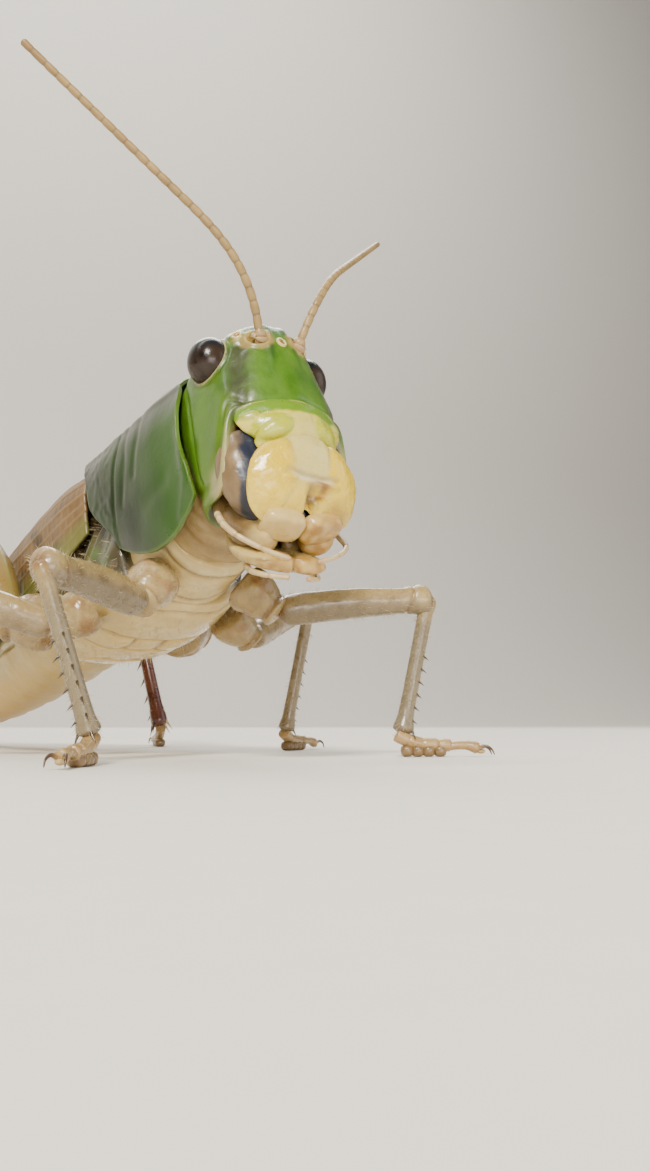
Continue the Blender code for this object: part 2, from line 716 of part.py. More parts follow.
def make_leg(pair, name, stand, body, trunk_piece):
    """One leg: coxa on the body, then femur, tibia and tarsus between hip and floor."""
    leg, side = LEGS[pair], (-1 if name == "right" else 1)
    mirror = Matrix.Diagonal((side, 1, 1, 1))
    root, hip = (body.matrix_local @ (mirror @ point) for point in leg["coxa"])
    floor, heading = FEET[pair, name]
    ankle = floor + Vector((0, 0, leg["ankle_height"]))
    lean = mirror @ leg["knee_lean"]
    if pair == "hind":
        knee = hip + (KNEE_OF_HIND[name] - hip).normalized() * leg["femur"]
    else:
        knee = knee_of(hip, ankle, leg["femur"], leg["tibia"], lean)
    wide, narrow = (radius / MM for radius in leg["coxa_radii"])
    radii = ((0.0, wide * 0.9), (0.35, wide), (0.8, narrow), (1.0, narrow * 0.8))
    coxa_rows = [(share, radius, radius, 0.0) for share, radius in radii]
    coxa = limb(f"{pair}_coxa_{name}", root, hip, lean, coxa_rows, 5, 8, "tan", stand)
    hind = pair == "hind"
    start = hip + (knee - hip).normalized() * 0.15 * MM
    thigh_end = knee + (knee - hip).normalized() * (0.55 if hind else 0.25) * MM
    # the femur's deep side faces up, away from the tibia
    up = (knee - hip).cross(ankle - knee).cross(knee - hip)
    rows = HIND_FEMUR_ROWS if hind else FEMUR_ROWS
    femur = limb(f"{pair}_femur_{name}", start, thigh_end, -up, rows,
                 14 if hind else 8, 12 if hind else 8, "green" if hind else "tan", stand)
    # the tibia's back, which bears the thorns, faces away from the femur
    thigh, shin = hip - knee, ankle - knee
    back = thigh - shin * thigh.dot(shin) / shin.length_squared
    rows = HIND_TIBIA_ROWS if hind else TIBIA_ROWS
    tibia = limb(f"{pair}_tibia_{name}", knee, ankle, back, rows, 21 if hind else 6, 8,
                 "brown" if hind else "tan", stand, tibia_spikes if hind else None)
    foot_size = leg["tarsus"], leg["ankle_height"]
    tarsus = make_tarsus(f"{pair}_tarsus_{name}", floor, heading, *foot_size, "tan", stand)
    keep_clear(coxa, trunk_piece)
    keep_clear(coxa, femur, 0.08 * MM)
    keep_clear(femur, tibia)
    keep_clear(tibia, tarsus)
    return coxa


# ---- assembly ---------------------------------------------------------------------------------


def press_head(skull):
    """Presses every piece of the head a little flatter, from crown to chin."""
    press = Matrix.Diagonal((1, 1, HEAD_PRESS, 1))
    for piece in skull.children:
        piece.data.transform(piece.matrix_local.inverted() @ press @ piece.matrix_local)


def stand_on_origin(stand):
    """Shifts the whole animal so that the centre of its box's floor is the origin."""
    bpy.context.view_layer.update()
    graph = bpy.context.evaluated_depsgraph_get()
    corners = []
    for obj in PARTS.objects:
        if obj.type == "MESH":
            evaluated = obj.evaluated_get(graph)
            corners += [evaluated.matrix_world @ vertex.co for vertex in evaluated.data.vertices]
    low = Vector(min(point[k] for point in corners) for k in range(3))
    high = Vector(max(point[k] for point in corners) for k in range(3))
    stand.location = Vector((-(low.x + high.x) / 2, -(low.y + high.y) / 2, -low.z))


def main():
    stand = empty("stand_point")
    lift = Matrix.Translation((0, 0, BODY_HEIGHT)) @ Matrix.Rotation(-BODY_PITCH, 4, "X")
    body = empty("body", stand, lift)
    there, back = Matrix.Translation(NECK_PIVOT), Matrix.Translation(-NECK_PIVOT)
    raise_head = there @ Matrix.Rotation(-HEAD_RAISE, 4, "X") @ back
    skull = empty("skull", body, raise_head)
    head = make_head(skull)
    make_mouth(skull)
    make_antennae(skull, head)
    press_head(skull)
    neck, chest, thorax = make_trunk(body)
    keep_clear(neck, head)
    make_abdomen(body)
    make_tail(body)
    make_wings(body)
    for pair, trunk_piece in (("fore", chest), ("mid", thorax), ("hind", thorax)):
        for name in ("right", "left"):
            make_leg(pair, name, stand, body, trunk_piece)
    stand_on_origin(stand)


main()
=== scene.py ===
import random
from math import copysign, cos, exp, hypot, pi, radians, sin, sqrt, tau

import bmesh
import bpy
from mathutils import Matrix, Vector, noise
from mathutils.bvhtree import BVHTree


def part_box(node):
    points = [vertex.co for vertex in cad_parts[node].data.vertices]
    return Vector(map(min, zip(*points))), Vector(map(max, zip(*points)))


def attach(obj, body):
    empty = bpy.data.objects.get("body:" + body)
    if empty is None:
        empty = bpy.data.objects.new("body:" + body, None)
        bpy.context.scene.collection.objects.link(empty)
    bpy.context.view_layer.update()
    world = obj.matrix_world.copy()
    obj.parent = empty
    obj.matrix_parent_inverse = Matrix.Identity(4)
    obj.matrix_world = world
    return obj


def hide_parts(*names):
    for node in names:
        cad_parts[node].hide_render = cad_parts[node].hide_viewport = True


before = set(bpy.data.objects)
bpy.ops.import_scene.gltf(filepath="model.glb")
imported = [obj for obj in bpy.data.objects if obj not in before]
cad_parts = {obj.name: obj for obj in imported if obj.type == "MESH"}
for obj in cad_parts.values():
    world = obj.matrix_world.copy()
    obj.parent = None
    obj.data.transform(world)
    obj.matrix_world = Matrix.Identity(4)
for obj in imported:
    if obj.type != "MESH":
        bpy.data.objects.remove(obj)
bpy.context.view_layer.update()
print("frame loaded:", len(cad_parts), "nodes")

# the animal's own frames, in millimetres, on the loaded model: x to its left, y to its tail, z up
mm = 0.001
stance = {"bodyHeight": 16.4, "bodyPitch": 13, "headRaise": 19, "headPress": 0.9, "neckPivot": (0, 7.2, 0.3),
          "eye": (0, 2.15, 2.55)}


def turn(axis, degrees):
    return Matrix.Rotation(radians(degrees), 4, axis)


def shift(x, y, z):
    return Matrix.Translation((x, y, z))


def boxMiddle(node):
    low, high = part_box(node)
    return (low + high) / 2


pivot = Vector(stance["neckPivot"])
bodyTurn = shift(0, 0, stance["bodyHeight"]) @ turn("X", -stance["bodyPitch"])
headTurn = bodyTurn @ shift(*pivot) @ turn("X", -stance["headRaise"]) @ shift(*-pivot)
headTurn = headTurn @ Matrix.Diagonal((1, 1, stance["headPress"], 1))
eyesAt = (boxMiddle("eye_left") + boxMiddle("eye_right")) / 2 / mm - headTurn @ Vector(stance["eye"])
floorFrame = Matrix.Scale(mm, 4) @ shift(eyesAt.x, eyesAt.y, 0)
bodyFrame = floorFrame @ bodyTurn
headFrame = floorFrame @ headTurn

# a low camera close in front of the animal's right side, looking up at the face
view = {"azimuth": -35, "height": 1.8, "distance": 52, "lens": 33.5, "across": 2.9, "aimY": -27, "aimHeight": 8.4}


def makeCamera():
    data = bpy.data.cameras.new("camera")
    data.lens = view["lens"]
    data.clip_start = 0.001
    data.clip_end = 20
    camera = bpy.data.objects.new("camera", data)
    bpy.context.scene.collection.objects.link(camera)
    heading = radians(view["azimuth"])
    right = Vector((cos(heading), sin(heading), 0))
    back = Vector((sin(heading), -cos(heading), 0))
    aim = Vector((0, view["aimY"], view["aimHeight"])) + right * view["across"]
    eye = Vector((0, view["aimY"], view["height"])) + right * view["across"] + back * view["distance"]
    camera.matrix_world = Matrix.Translation(eye * mm) @ (aim - eye).to_track_quat("-Z", "Y").to_matrix().to_4x4()
    bpy.context.scene.camera = camera


def makeLight(name, place, aim, size, power, tint):
    data = bpy.data.lights.new(name, "AREA")
    data.shape = "RECTANGLE"
    data.size, data.size_y = size
    data.energy = power
    data.color = tint
    light = bpy.data.objects.new(name, data)
    light.location = Vector(place)
    light.rotation_euler = (Vector(aim) - Vector(place)).to_track_quat("-Z", "Y").to_euler()
    bpy.context.scene.collection.objects.link(light)


def hexColour(code):
    values = [int(code[k:k + 2], 16) / 255 for k in (1, 3, 5)]
    return [v / 12.92 if v <= 0.04045 else ((v + 0.055) / 1.055) ** 2.4 for v in values] + [1]


def addNode(tree, kind, inputs=None, **settings):
    node = tree.nodes.new("ShaderNode" + kind)
    for key, value in settings.items():
        setattr(node, key, value)
    for socket, value in (inputs or {}).items():
        if isinstance(value, bpy.types.NodeSocket):
            tree.links.new(value, node.inputs[socket])
        else:
            node.inputs[socket].default_value = value
    return node


# a wide sheet on the floor that bends up behind the animal, in metres
paperSheet = {"width": 16, "length": 9.6, "front": 5.8, "bendFrom": 0.9, "bendRadius": 0.5, "bendLength": 0.785}


def makeStage():
    bm = bmesh.new()
    bmesh.ops.create_grid(bm, x_segments=2, y_segments=160, size=0.5)
    radius = paperSheet["bendRadius"]
    for vertex in bm.verts:
        run = (vertex.co.y + 0.5) * paperSheet["length"] - paperSheet["front"]
        rise = max(0, run - paperSheet["bendFrom"])
        bend = min(rise / radius, pi / 2)
        y = min(run, paperSheet["bendFrom"]) + radius * sin(bend)
        z = radius * (1 - cos(bend)) + max(0, rise - paperSheet["bendLength"])
        vertex.co = vertex.co.x * paperSheet["width"], y, z
    mesh = bpy.data.meshes.new("floorSweep")
    bm.to_mesh(mesh)
    bm.free()
    mesh.shade_smooth()
    paper = bpy.data.materials.new("backgroundPaper")  # matt rolled paper, nearly white
    paper.use_nodes = True
    tree = paper.node_tree
    shader = tree.nodes["Principled BSDF"]
    where = addNode(tree, "TexCoord").outputs["Object"]
    cloud = addNode(tree, "TexNoise", {"Vector": where, "Scale": 900, "Detail": 3}).outputs["Fac"]
    tone = addNode(tree, "MixRGB", {"Fac": cloud, "Color1": hexColour("#e4ded3"), "Color2": hexColour("#eae5db")})
    tree.links.new(tone.outputs[0], shader.inputs["Base Color"])
    shader.inputs["Roughness"].default_value = 0.9
    mesh.materials.append(paper)
    sweep = bpy.data.objects.new("floorSweep", mesh)
    bpy.context.scene.collection.objects.link(sweep)


def makeSky():
    world = bpy.data.worlds.new("studio")
    bpy.context.scene.world = world
    world.use_nodes = True
    tree = world.node_tree
    sky = tree.nodes["Background"]
    sky.inputs["Color"].default_value = hexColour("#e3e3e4")
    up = addNode(tree, "SeparateXYZ", {"Vector": addNode(tree, "TexCoord").outputs["Object"]}).outputs["Z"]
    glow = addNode(tree, "MapRange", {"Value": up, "From Min": 0.02, "From Max": 0.40, "To Min": 0.60, "To Max": 0.24})
    tree.links.new(glow.outputs["Result"], sky.inputs["Strength"])  # paler near the horizon


makeCamera()
# name, place, aim, size, power and tint
makeLight("keySoftbox", (-0.24, -0.30, 0.30), (0, -0.01, 0.012), (0.10, 0.10), 3.5, (1, 0.955, 0.87))
makeLight("fillSoftbox", (0.34, -0.26, 0.16), (0, -0.01, 0.012), (0.30, 0.30), 0.45, (0.95, 0.97, 1))
makeLight("lowSoftbox", (-0.10, -0.40, 0.05), (0, -0.02, 0.012), (0.24, 0.10), 0.75, (1, 0.96, 0.90))
makeLight("backSoftbox", (0.16, 0.30, 0.36), (0, 0, 0.012), (0.26, 0.20), 1.5, (1, 0.98, 0.95))
makeLight("paperSoftbox", (0, 0.55, 1.5), (0, 1.5, 0.6), (2.4, 0.6), 34, (1, 0.98, 0.95))
makeSky()
makeStage()
print("camera, light and floor made")


def ease(low, high, value):
    share = min(1, max(0, (value - low) / (high - low)))
    return share * share * (3 - 2 * share)


def bump(value, middle, width):
    reach = (value - middle) / width
    return exp(-reach * reach) if abs(reach) < 4 else 0


def power(value, exponent):
    return copysign(abs(value) ** exponent, value)


def table(rows, at):
    # values of a short table at a station, on a smooth curve through its rows
    last = len(rows) - 1
    i = max(k for k in range(last) if rows[k][0] <= at or k == 0)
    before, here, there, after = rows[max(0, i - 1)], rows[i], rows[i + 1], rows[min(last, i + 2)]
    span = there[0] - here[0]
    t = min(1, max(0, (at - here[0]) / span))
    values = []
    for k in range(1, len(here)):
        slopeHere = (there[k] - before[k]) / (there[0] - before[0])
        slopeThere = (after[k] - here[k]) / (after[0] - here[0])
        values.append((2 * t**3 - 3 * t**2 + 1) * here[k] + (t**3 - 2 * t**2 + t) * span * slopeHere
                      + (3 * t**2 - 2 * t**3) * there[k] + (t**3 - t**2) * span * slopeThere)
    return values


def lineDistance(a, b, line):
    # how far the flat point (a, b) is from a line of a few flat points
    best = 1e9
    for (x, y), (xEnd, yEnd) in zip(line, line[1:]):
        runX, runY = xEnd - x, yEnd - y
        share = min(1, max(0, ((a - x) * runX + (b - y) * runY) / (runX * runX + runY * runY)))
        best = min(best, (x + runX * share - a) ** 2 + (y + runY * share - b) ** 2)
    return sqrt(best)


def ridge(a, b, line, width):
    return bump(lineDistance(a, b, line), 0, width)


def grain(point, size, seed=0):
    return noise.noise(Vector(point) / size + Vector((seed * 7.3, seed * 3.1, seed * 5.7)))


def skin(columns, rows, place, closed=True, cap=True):
    # a grid bent into a surface by place(u, v); a closed one is welded along u and capped along v
    bm = bmesh.new()
    pattern = bm.loops.layers.uv.new("pattern")
    bmesh.ops.create_grid(bm, x_segments=columns, y_segments=rows, size=0.5)
    for face in bm.faces:
        for loop in face.loops:
            loop[pattern].uv = loop.vert.co.x + 0.5, loop.vert.co.y + 0.5
    for vertex in bm.verts:
        vertex.co = place(min(1, max(0, vertex.co.x + 0.5)), min(1, max(0, vertex.co.y + 0.5)))
    if closed:
        bmesh.ops.remove_doubles(bm, verts=bm.verts, dist=1e-4)
        if cap:
            bmesh.ops.holes_fill(bm, edges=bm.edges, sides=0)
        bmesh.ops.recalc_face_normals(bm, faces=bm.faces)
        if bm.calc_volume(signed=True) < 0:
            bmesh.ops.reverse_faces(bm, faces=bm.faces)
    return bm


def spots(bm):
    # every vertex with its pattern coordinates
    pattern = bm.loops.layers.uv.get("pattern")
    for vertex in bm.verts:
        u, v = vertex.link_loops[0][pattern].uv if pattern and vertex.link_loops else (0, 0)
        yield vertex, u, v


def emboss(bm, relief, passes=0):
    # moves each vertex along its normal by relief(point, normal, u, v), in millimetres
    bm.normal_update()
    steps = [(vertex, vertex.normal * relief(vertex.co, vertex.normal, u, v)) for vertex, u, v in spots(bm)]
    for vertex, step in steps:
        vertex.co += step
    for _ in range(passes):
        bmesh.ops.smooth_vert(bm, verts=bm.verts, factor=0.5, use_axis_x=True, use_axis_y=True, use_axis_z=True)
    bm.normal_update()


def paint(bm, zonesAt):
    # zonesAt gives each vertex numbers from 0 to 1, which the materials read by their names
    bm.normal_update()
    amounts = [zonesAt(vertex.co, vertex.normal, u, v) for vertex, u, v in spots(bm)]
    for name in amounts[0]:
        layer = bm.verts.layers.float.new(name)
        for vertex, zones in zip(bm.verts, amounts):
            vertex[layer] = min(1, max(0, zones[name]))


def join(parts):
    # several meshes as one; zones of the same name stay
    joined = bmesh.new()
    for part in parts:
        mesh = bpy.data.meshes.new("part")
        part.to_mesh(mesh)
        joined.from_mesh(mesh)
        part.free()
        bpy.data.meshes.remove(mesh)
    return joined


def place(name, bm, where, material, slot, node=None, smoothness=180):
    # the finished piece: its place goes into its mesh, and it rides on the one body
    bm.transform(where)
    if where.determinant() < 0:
        bmesh.ops.reverse_faces(bm, faces=bm.faces)
    mesh = bpy.data.meshes.new(name)
    bm.to_mesh(mesh)
    bm.free()
    mesh.shade_smooth()
    if smoothness < 180:
        mesh.set_sharp_from_angle(angle=radians(smoothness))
    mesh.materials.append(material)
    piece = bpy.data.objects.new(name, mesh)
    bpy.context.scene.collection.objects.link(piece)
    if node:
        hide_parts(node)
    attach(piece, "root")
    return piece


def thicken(piece, thickness, edge=0):
    wall = piece.modifiers.new("wall", "SOLIDIFY")
    wall.thickness = thickness * mm
    wall.offset = -1
    if edge:
        rounded = piece.modifiers.new("rounded", "BEVEL")
        rounded.width = edge * mm
        rounded.segments = 2
        rounded.limit_method = "ANGLE"
        rounded.angle_limit = radians(60)


def mirrored(side):
    return Matrix.Diagonal((side, 1, 1, 1))


sides = ((-1, "right"), (1, "left"))


def aimed(point, heading):
    # z goes along the heading
    return Matrix.Translation(point) @ heading.to_track_quat("Z", "Y").to_matrix().to_4x4()


def roundEnds(v, reach):
    near = min(v, 1 - v) / reach
    return sqrt(max(0, 1 - (1 - near) ** 2)) if near < 1 else 1


def route(points, share):
    # a point and a heading on a smooth curve through a few points
    def spot(s):
        reach = min(len(points) - 1.0001, max(0, s * (len(points) - 1)))
        i = int(reach)
        t = reach - i
        a, b, c, d = (Vector(points[min(len(points) - 1, max(0, j))]) for j in (i - 1, i, i + 1, i + 2))
        return b + (c - a) * 0.5 * t + (a * 2 - b * 5 + c * 4 - d) * 0.5 * t**2 + (b * 3 - a - c * 3 + d) * 0.5 * t**3
    return spot(share), (spot(share + 0.004) - spot(share - 0.004)).normalized()


def tubeAlong(points, radius, columns, count, up=(0, 0, 1)):
    rings = {}

    def at(u, v):
        if v not in rings:
            point, heading = route(points, v)
            across = heading.cross(Vector(up)).normalized()
            rings[v] = point, across, across.cross(heading), radius(v)
        point, across, other, reach = rings[v]
        return point + (across * cos(tau * u) + other * sin(tau * u)) * reach
    return skin(columns, count, at)


def joints(share, cuts, width):
    return max(bump(share, cut, width) for cut in cuts)


def pillow(centre, radii, exponent, columns=40, count=28, tilt=0):
    # a closed cushion-like lobe
    def at(u, v):
        side, rise = cos((v - 0.5) * pi), sin((v - 0.5) * pi)
        flat = power(side, exponent)
        return Vector((radii[0] * flat * power(sin(tau * u), exponent),
                       -radii[1] * flat * power(cos(tau * u), exponent),
                       radii[2] * power(rise, exponent)))
    bm = skin(columns, count, at, cap=False)
    bm.transform(shift(*centre) @ turn("Y", tilt))
    return bm


def cuticle(name, look):
    # insect shell: a base tone with a soft mottle, painted zones over it, fine relief and gloss
    material = bpy.data.materials.new(name)
    material.use_nodes = True
    tree = material.node_tree
    shader = tree.nodes["Principled BSDF"]
    where = addNode(tree, "TexCoord").outputs["Object"]

    def cloudOf(size, detail=2, roughness=0.5):
        return addNode(tree, "TexNoise", {"Vector": where, "Scale": 1000 / size, "Detail": detail,
                                          "Roughness": roughness}).outputs["Fac"]

    def ranged(value, low, high, least=0, most=1):
        limits = {"Value": value, "From Min": low, "From Max": high, "To Min": least, "To Max": most}
        return addNode(tree, "MapRange", limits).outputs["Result"]

    def mixed(share, under, over):
        return addNode(tree, "MixRGB", {"Fac": share, "Color1": under, "Color2": hexColour(over)}).outputs[0]

    cloud = cloudOf(look.get("mottleSize", 1.2), 4, 0.6)
    tone = mixed(ranged(cloud, 0.35, 0.68), hexColour(look["tone"]), look["mottle"])
    for zone in filter(None, look.get("zones", "").split(", ")):
        zone, colour, strength = zone.split()
        mask = addNode(tree, "Attribute", attribute_name=zone).outputs["Fac"]
        tone = mixed(addNode(tree, "Math", {0: mask, 1: float(strength)}, operation="MULTIPLY").outputs[0], tone,
                     colour)
    if "speck" in look:
        size, colour, most = look["speck"]
        tone = mixed(ranged(cloudOf(size), 0.56, 0.72, 0, most), tone, colour)
    tree.links.new(tone, shader.inputs["Base Color"])
    tree.links.new(ranged(cloud, 0.3, 0.7, *look.get("roughness", (0.28, 0.42))), shader.inputs["Roughness"])
    fineSize, fineDepth = look.get("fine", (0.09, 0.006))
    wideSize, wideDepth = look.get("wide", (0.5, 0.02))
    fine, wide = cloudOf(fineSize), cloudOf(wideSize)
    first = addNode(tree, "Bump", {"Height": wide, "Distance": wideDepth * mm, "Strength": 1})
    second = addNode(tree, "Bump", {"Height": fine, "Distance": fineDepth * mm, "Strength": 1,
                                    "Normal": first.outputs[0]})
    tree.links.new(second.outputs[0], shader.inputs["Normal"])
    for socket, value in {"IOR": look.get("ior", 1.5), "Coat Weight": look.get("coat", 0.2), "Coat Roughness": 0.15,
                          "Subsurface Weight": look.get("glow", 0.05), "Subsurface Radius": (1, 0.75, 0.45),
                          "Subsurface Scale": 0.5 * mm}.items():
        shader.inputs[socket].default_value = value
    return material


# head capsule, with the ridges of the face, the cheeks, the eye rims and the feeler sockets
headShape = {
    "levels": (  # z, half width, front y, back y
        (-1.75, 3.85, 0.50, 7), (-0.5, 3.75, 0.25, 7.3), (0.9, 3.45, 0.08, 7.4), (2.15, 3.25, 0, 7.4),
        (3.3, 2.95, 0.05, 7.1), (4.05, 2.3, 0.4, 6.6), (4.5, 1.5, 1.1, 5.8), (4.7, 0.45, 2.4, 4.6),
        (4.75, 0.02, 3.4, 3.6)),
    # how far the lower edge hangs, from front to back
    "drop": ((-1, 0.2), (0.3, 0.22), (0.8, 0.18), (1.4, 0.35), (1.8, 0.85), (2.3, 1.9), (2.8, 2.75), (3.3, 3.4),
             (3.9, 3.75), (4.6, 3.65), (5.5, 3.3), (7.5, 3)),
    "eyeAt": (2.85, 2.15, 2.55), "eyeRadii": (1.08, 1.12, 1.36), "eyeNod": 14, "eyeLean": -8,
    "socket": (1.15, 2.5), "middleOcellus": (0, 2.2), "sideOcellus": (1.92, 3.1),
    "low": -1.75, "tall": 6.5, "under": 0.04, "columns": 230, "rows": 150,
}


def headLevel(v):
    under = headShape["under"]
    return headShape["low"] + headShape["tall"] * (1 - (1 - max(0, v - under) / (1 - under)) ** 1.6)


def aboveJaw(v):
    return headLevel(v) - headShape["low"]


def headPlace(u, v):
    shape = headShape
    level = headLevel(v)
    halfWidth, front, back = table(shape["levels"], level)
    roll = 0.05 * (1 - ease(0, 0.02, v - shape["under"]))
    middle, depth = (front + back) / 2, (back - front) / 2 - roll
    angle = tau * u
    x = (halfWidth - roll) * power(sin(angle), 0.85 - 0.27 * ease(0.1, -0.6, cos(angle)))
    y = middle - depth * power(cos(angle), 0.85)
    if cos(angle) > 0:
        y -= 0.22 * bump(x, 0, 0.9)
    drop = table(shape["drop"], y)[0] * (1 - ease(-1.75, 2.2, level))
    point = Vector((x * (1 - 0.028 * drop), y, level - drop))
    if v < shape["under"]:
        point = Vector((0, 3.6, -1.9)).lerp(point, v / shape["under"])
    return point


def eyeDistance(point):
    x, y, z = headShape["eyeAt"]
    away = Vector((abs(point.x) - x, point.y - y, point.z - z))
    away = (turn("X", headShape["eyeNod"]) @ turn("Y", headShape["eyeLean"])).inverted() @ away
    return Vector(a / r for a, r in zip(away, headShape["eyeRadii"])).length


def costaEdge(level):
    return 0.50 + 0.12 * max(0, 3.4 - level)


def onFace(normal):
    return ease(0.05, 0.5, -normal.y)


cheekLine = ((1.95, 1.6), (2.35, 0.4), (2.8, -1.6))
furrowLine = ((1.95, 2.3), (2.25, 1.2), (2.5, 0), (2.75, -1.8))


def headRelief(p, n, u, v):
    if v < headShape["under"]:
        return 0
    face, side, level = onFace(n), abs(p.x), headLevel(v)
    rise = 0.07 * bump(side, costaEdge(level), 0.15) * face * ease(-0.3, 1.6, level) * ease(4.6, 4, level)
    rise -= 0.05 * (1 - ease(costaEdge(level) - 0.3, costaEdge(level), side)) * face * ease(0, 1.8, level)
    rise += 0.05 * ridge(side, level, cheekLine, 0.18) * face
    rise -= 0.13 * ridge(side, level, furrowLine, 0.30) * ease(0.9, 0.2, n.y)
    socket = hypot(side - headShape["socket"][0], p.z - headShape["socket"][1])
    rise += face * (0.10 * bump(socket, 0.55, 0.13) - 0.22 * (1 - ease(0.25, 0.5, socket)))
    for x, z in (headShape["middleOcellus"], headShape["sideOcellus"]):
        rise += ease(-0.1, 0.3, -n.y) * 0.07 * bump(hypot(side - x, p.z - z), 0.22, 0.08)
    eye = eyeDistance(p)
    rise += 0.05 * bump(eye, 1.06, 0.035) - 0.06 * bump(eye, 1.18, 0.07)
    edge = aboveJaw(v)
    lateral = 1 - ease(3.2, 2.4, side) * face
    rise += (0.045 + 0.07 * lateral) * bump(edge, 0.07 + 0.25 * lateral, 0.07 + 0.17 * lateral)
    rise -= (0.035 + 0.08 * lateral) * bump(edge, 0.24 + 0.70 * lateral, 0.10 + 0.12 * lateral)
    rise -= 0.08 * ridge(p.y, p.z, ((4.4, 3.9), (4.2, 1.6), (5, -1.6), (5.3, -3.4)), 0.13) * ease(0.3, 0.7, side / 3.6)
    return rise + 0.03 * grain(p, 0.9, 1) * (1 - 0.5 * face)


def headZones(p, n, u, v):
    face, side, level, eye = onFace(n), abs(p.x), headLevel(v), eyeDistance(p)
    costa = bump(side, costaEdge(level) - 0.05, 0.11) * face * ease(0, 1.6, p.z)
    furrow = 1.25 * ridge(side, level, furrowLine, 0.50) * ease(3, 2, level) * ease(0, 0.35, -n.y + 0.25)
    socket = hypot(side - headShape["socket"][0], p.z - headShape["socket"][1])
    edge = ease(0.35, -0.1, level + 1.45 - 0.6 * ease(2.2, 3.6, p.y)) * ease(2.4, 2.8, side)
    return {
        # painted shade: darker olive over the top and back of the head
        "crown": ease(2.9, 4.2, p.z + 0.25 * grain(p, 0.8, 2)) * 0.8 + 0.5 * ease(5.4, 7, p.y),
        "cheek": ease(0.2, 0.8, abs(n.x)) * (1 - ease(0.2, 2.2, aboveJaw(v))) * (0.7 + 0.4 * grain(p, 0.6, 3)),
        # painted shade: dark green lines along the edges of the frontal ridge and a dark patch beside it below the
        # feeler sockets
        "line": max(costa, 0.8 * bump(p.z, 2, 0.8) * bump(side, 0.72, 0.25) * face),
        "band": furrow * (0.9 + 0.4 * grain(p, 0.5, 61)),
        "socket": face * max(1 - ease(0.5, 0.95, socket + 0.12 * grain(p, 0.3, 4)),
                             0.75 * ridge(side, p.z, ((1.3, 2.3), (2, 2.9)), 0.26)),
        "rim": max(0.85 * edge * ease(4.9, 4, p.y) * ease(1.6, 2.6, p.y), 0.9 * ease(1.085, 1.06, eye)),
        "seam": bump(aboveJaw(v), 0.05, 0.06) * ease(3.1, 2.7, side) * face,
        # painted shade: dark brown over the closed underside of the capsule, behind the mouth parts
        "under": ease(headShape["under"] * 1.01, headShape["under"] * 0.9, v),
        "brow": bump(eye, 1.2, 0.07) * ease(1.6, 0.8, p.z),
    }


# live cuticle, self-coloured: leaf green with a waxy gloss and a fine orange-peel surface, plus painted shade over the
# top and back of the head, along the frontal ridge and on the underside
headCuticle = cuticle("leafGreenCuticle", {
    "tone": "#365c03", "mottle": "#4d7408", "mottleSize": 1.8,
    "zones": "crown #3a5424 0.75, cheek #72881f 0.6, line #1c3d14 0.8, band #2a2a08 0.86, brow #4a3e20 0.7, "
             "socket #a8894c 0.85, seam #a3a850 0.85, rim #aa9c6c 0.9, under #4a3c28 0.95",
    "roughness": (0.32, 0.46), "fine": (0.12, 0.008), "wide": (0.6, 0.03), "coat": 0.22,
})


def makeHead():
    bm = skin(headShape["columns"], headShape["rows"], headPlace)
    emboss(bm, headRelief, 1)
    paint(bm, headZones)
    face = BVHTree.FromBMesh(bm)
    place("headCapsule", bm, headFrame, headCuticle, "head_shell", "head", 60)
    return face


# three ocelli: small clear beads over brown, each in a cream ring
ocellusGlass = cuticle("ocellusLens", {"tone": "#6f4a1e", "mottle": "#8a6030", "roughness": (0.12, 0.2), "coat": 0.4,
                                       "zones": "ring #cdb870 1", "fine": (0.2, 0), "wide": (0.5, 0)})


def makeOcelli(face):
    beads = []
    x, z = headShape["sideOcellus"]
    for side, height in ((0, headShape["middleOcellus"][1]), (-x, z), (x, z)):
        point, normal, _, _ = face.ray_cast(Vector((side, -6, height)), Vector((0, 1, 0)))
        rows = ((0, 0.06), (0.10, 0.055), (0.15, 0.03), (0.17, 0.055), (0.22, 0.085), (0.27, 0.05), (0.29, -0.03))

        def at(u, v):
            reach = 0.29 * min(1, v / 0.85)
            height = table(rows, reach)[0] if v < 0.85 else -0.03 - 0.12 * (v - 0.85) / 0.15
            return Vector((reach * cos(tau * u), reach * 1.2 * sin(tau * u), height))
        bead = skin(28, 20, at)
        paint(bead, lambda p, n, u, v: {"ring": ease(0.14, 0.165, hypot(p.x, p.y / 1.2))})
        bead.transform(aimed(point, normal))
        beads.append(bead)
    place("ocelli", join(beads), headFrame, ocellusGlass, "eyes")


# compound eyes: glassy lens cuticle, dark brown below and blue-black above, with faint upright stripes and painted
# pseudopupils
eyeLook = {
    "tone": "#2a2018", "mottle": "#382a1e", "mottleSize": 1.6,
    "zones": "top #0b131c 0.98, stripe #1a120d 0.4, pupil #080504 0.95",
    "roughness": (0.20, 0.26), "fine": (0.06, 0.003), "wide": (0.6, 0), "coat": 0, "glow": 0, "ior": 1.4,
}
eyeFacet = {"size": 0.06, "depth": 0.004}


def eyeZones(p, n, u, v):
    return {
        "top": ease(-0.55, 0.35, p.z + 0.3 * p.y),
        "stripe": (0.5 + 0.5 * sin(p.y * 14 + 0.6 * p.z)) ** 2,
        # painted pseudopupils: small dark spots of shade that the facets show only towards the viewer, fixed here on
        # the surface
        "pupil": max(bump(hypot(p.y + 0.75, p.z + 0.35), 0, 0.17), 0.6 * bump(hypot(p.y + 0.30, p.z + 0.62), 0, 0.11),
                     0.5 * bump(hypot(p.y + 0.62, p.z - 0.25), 0, 0.10)),
    }


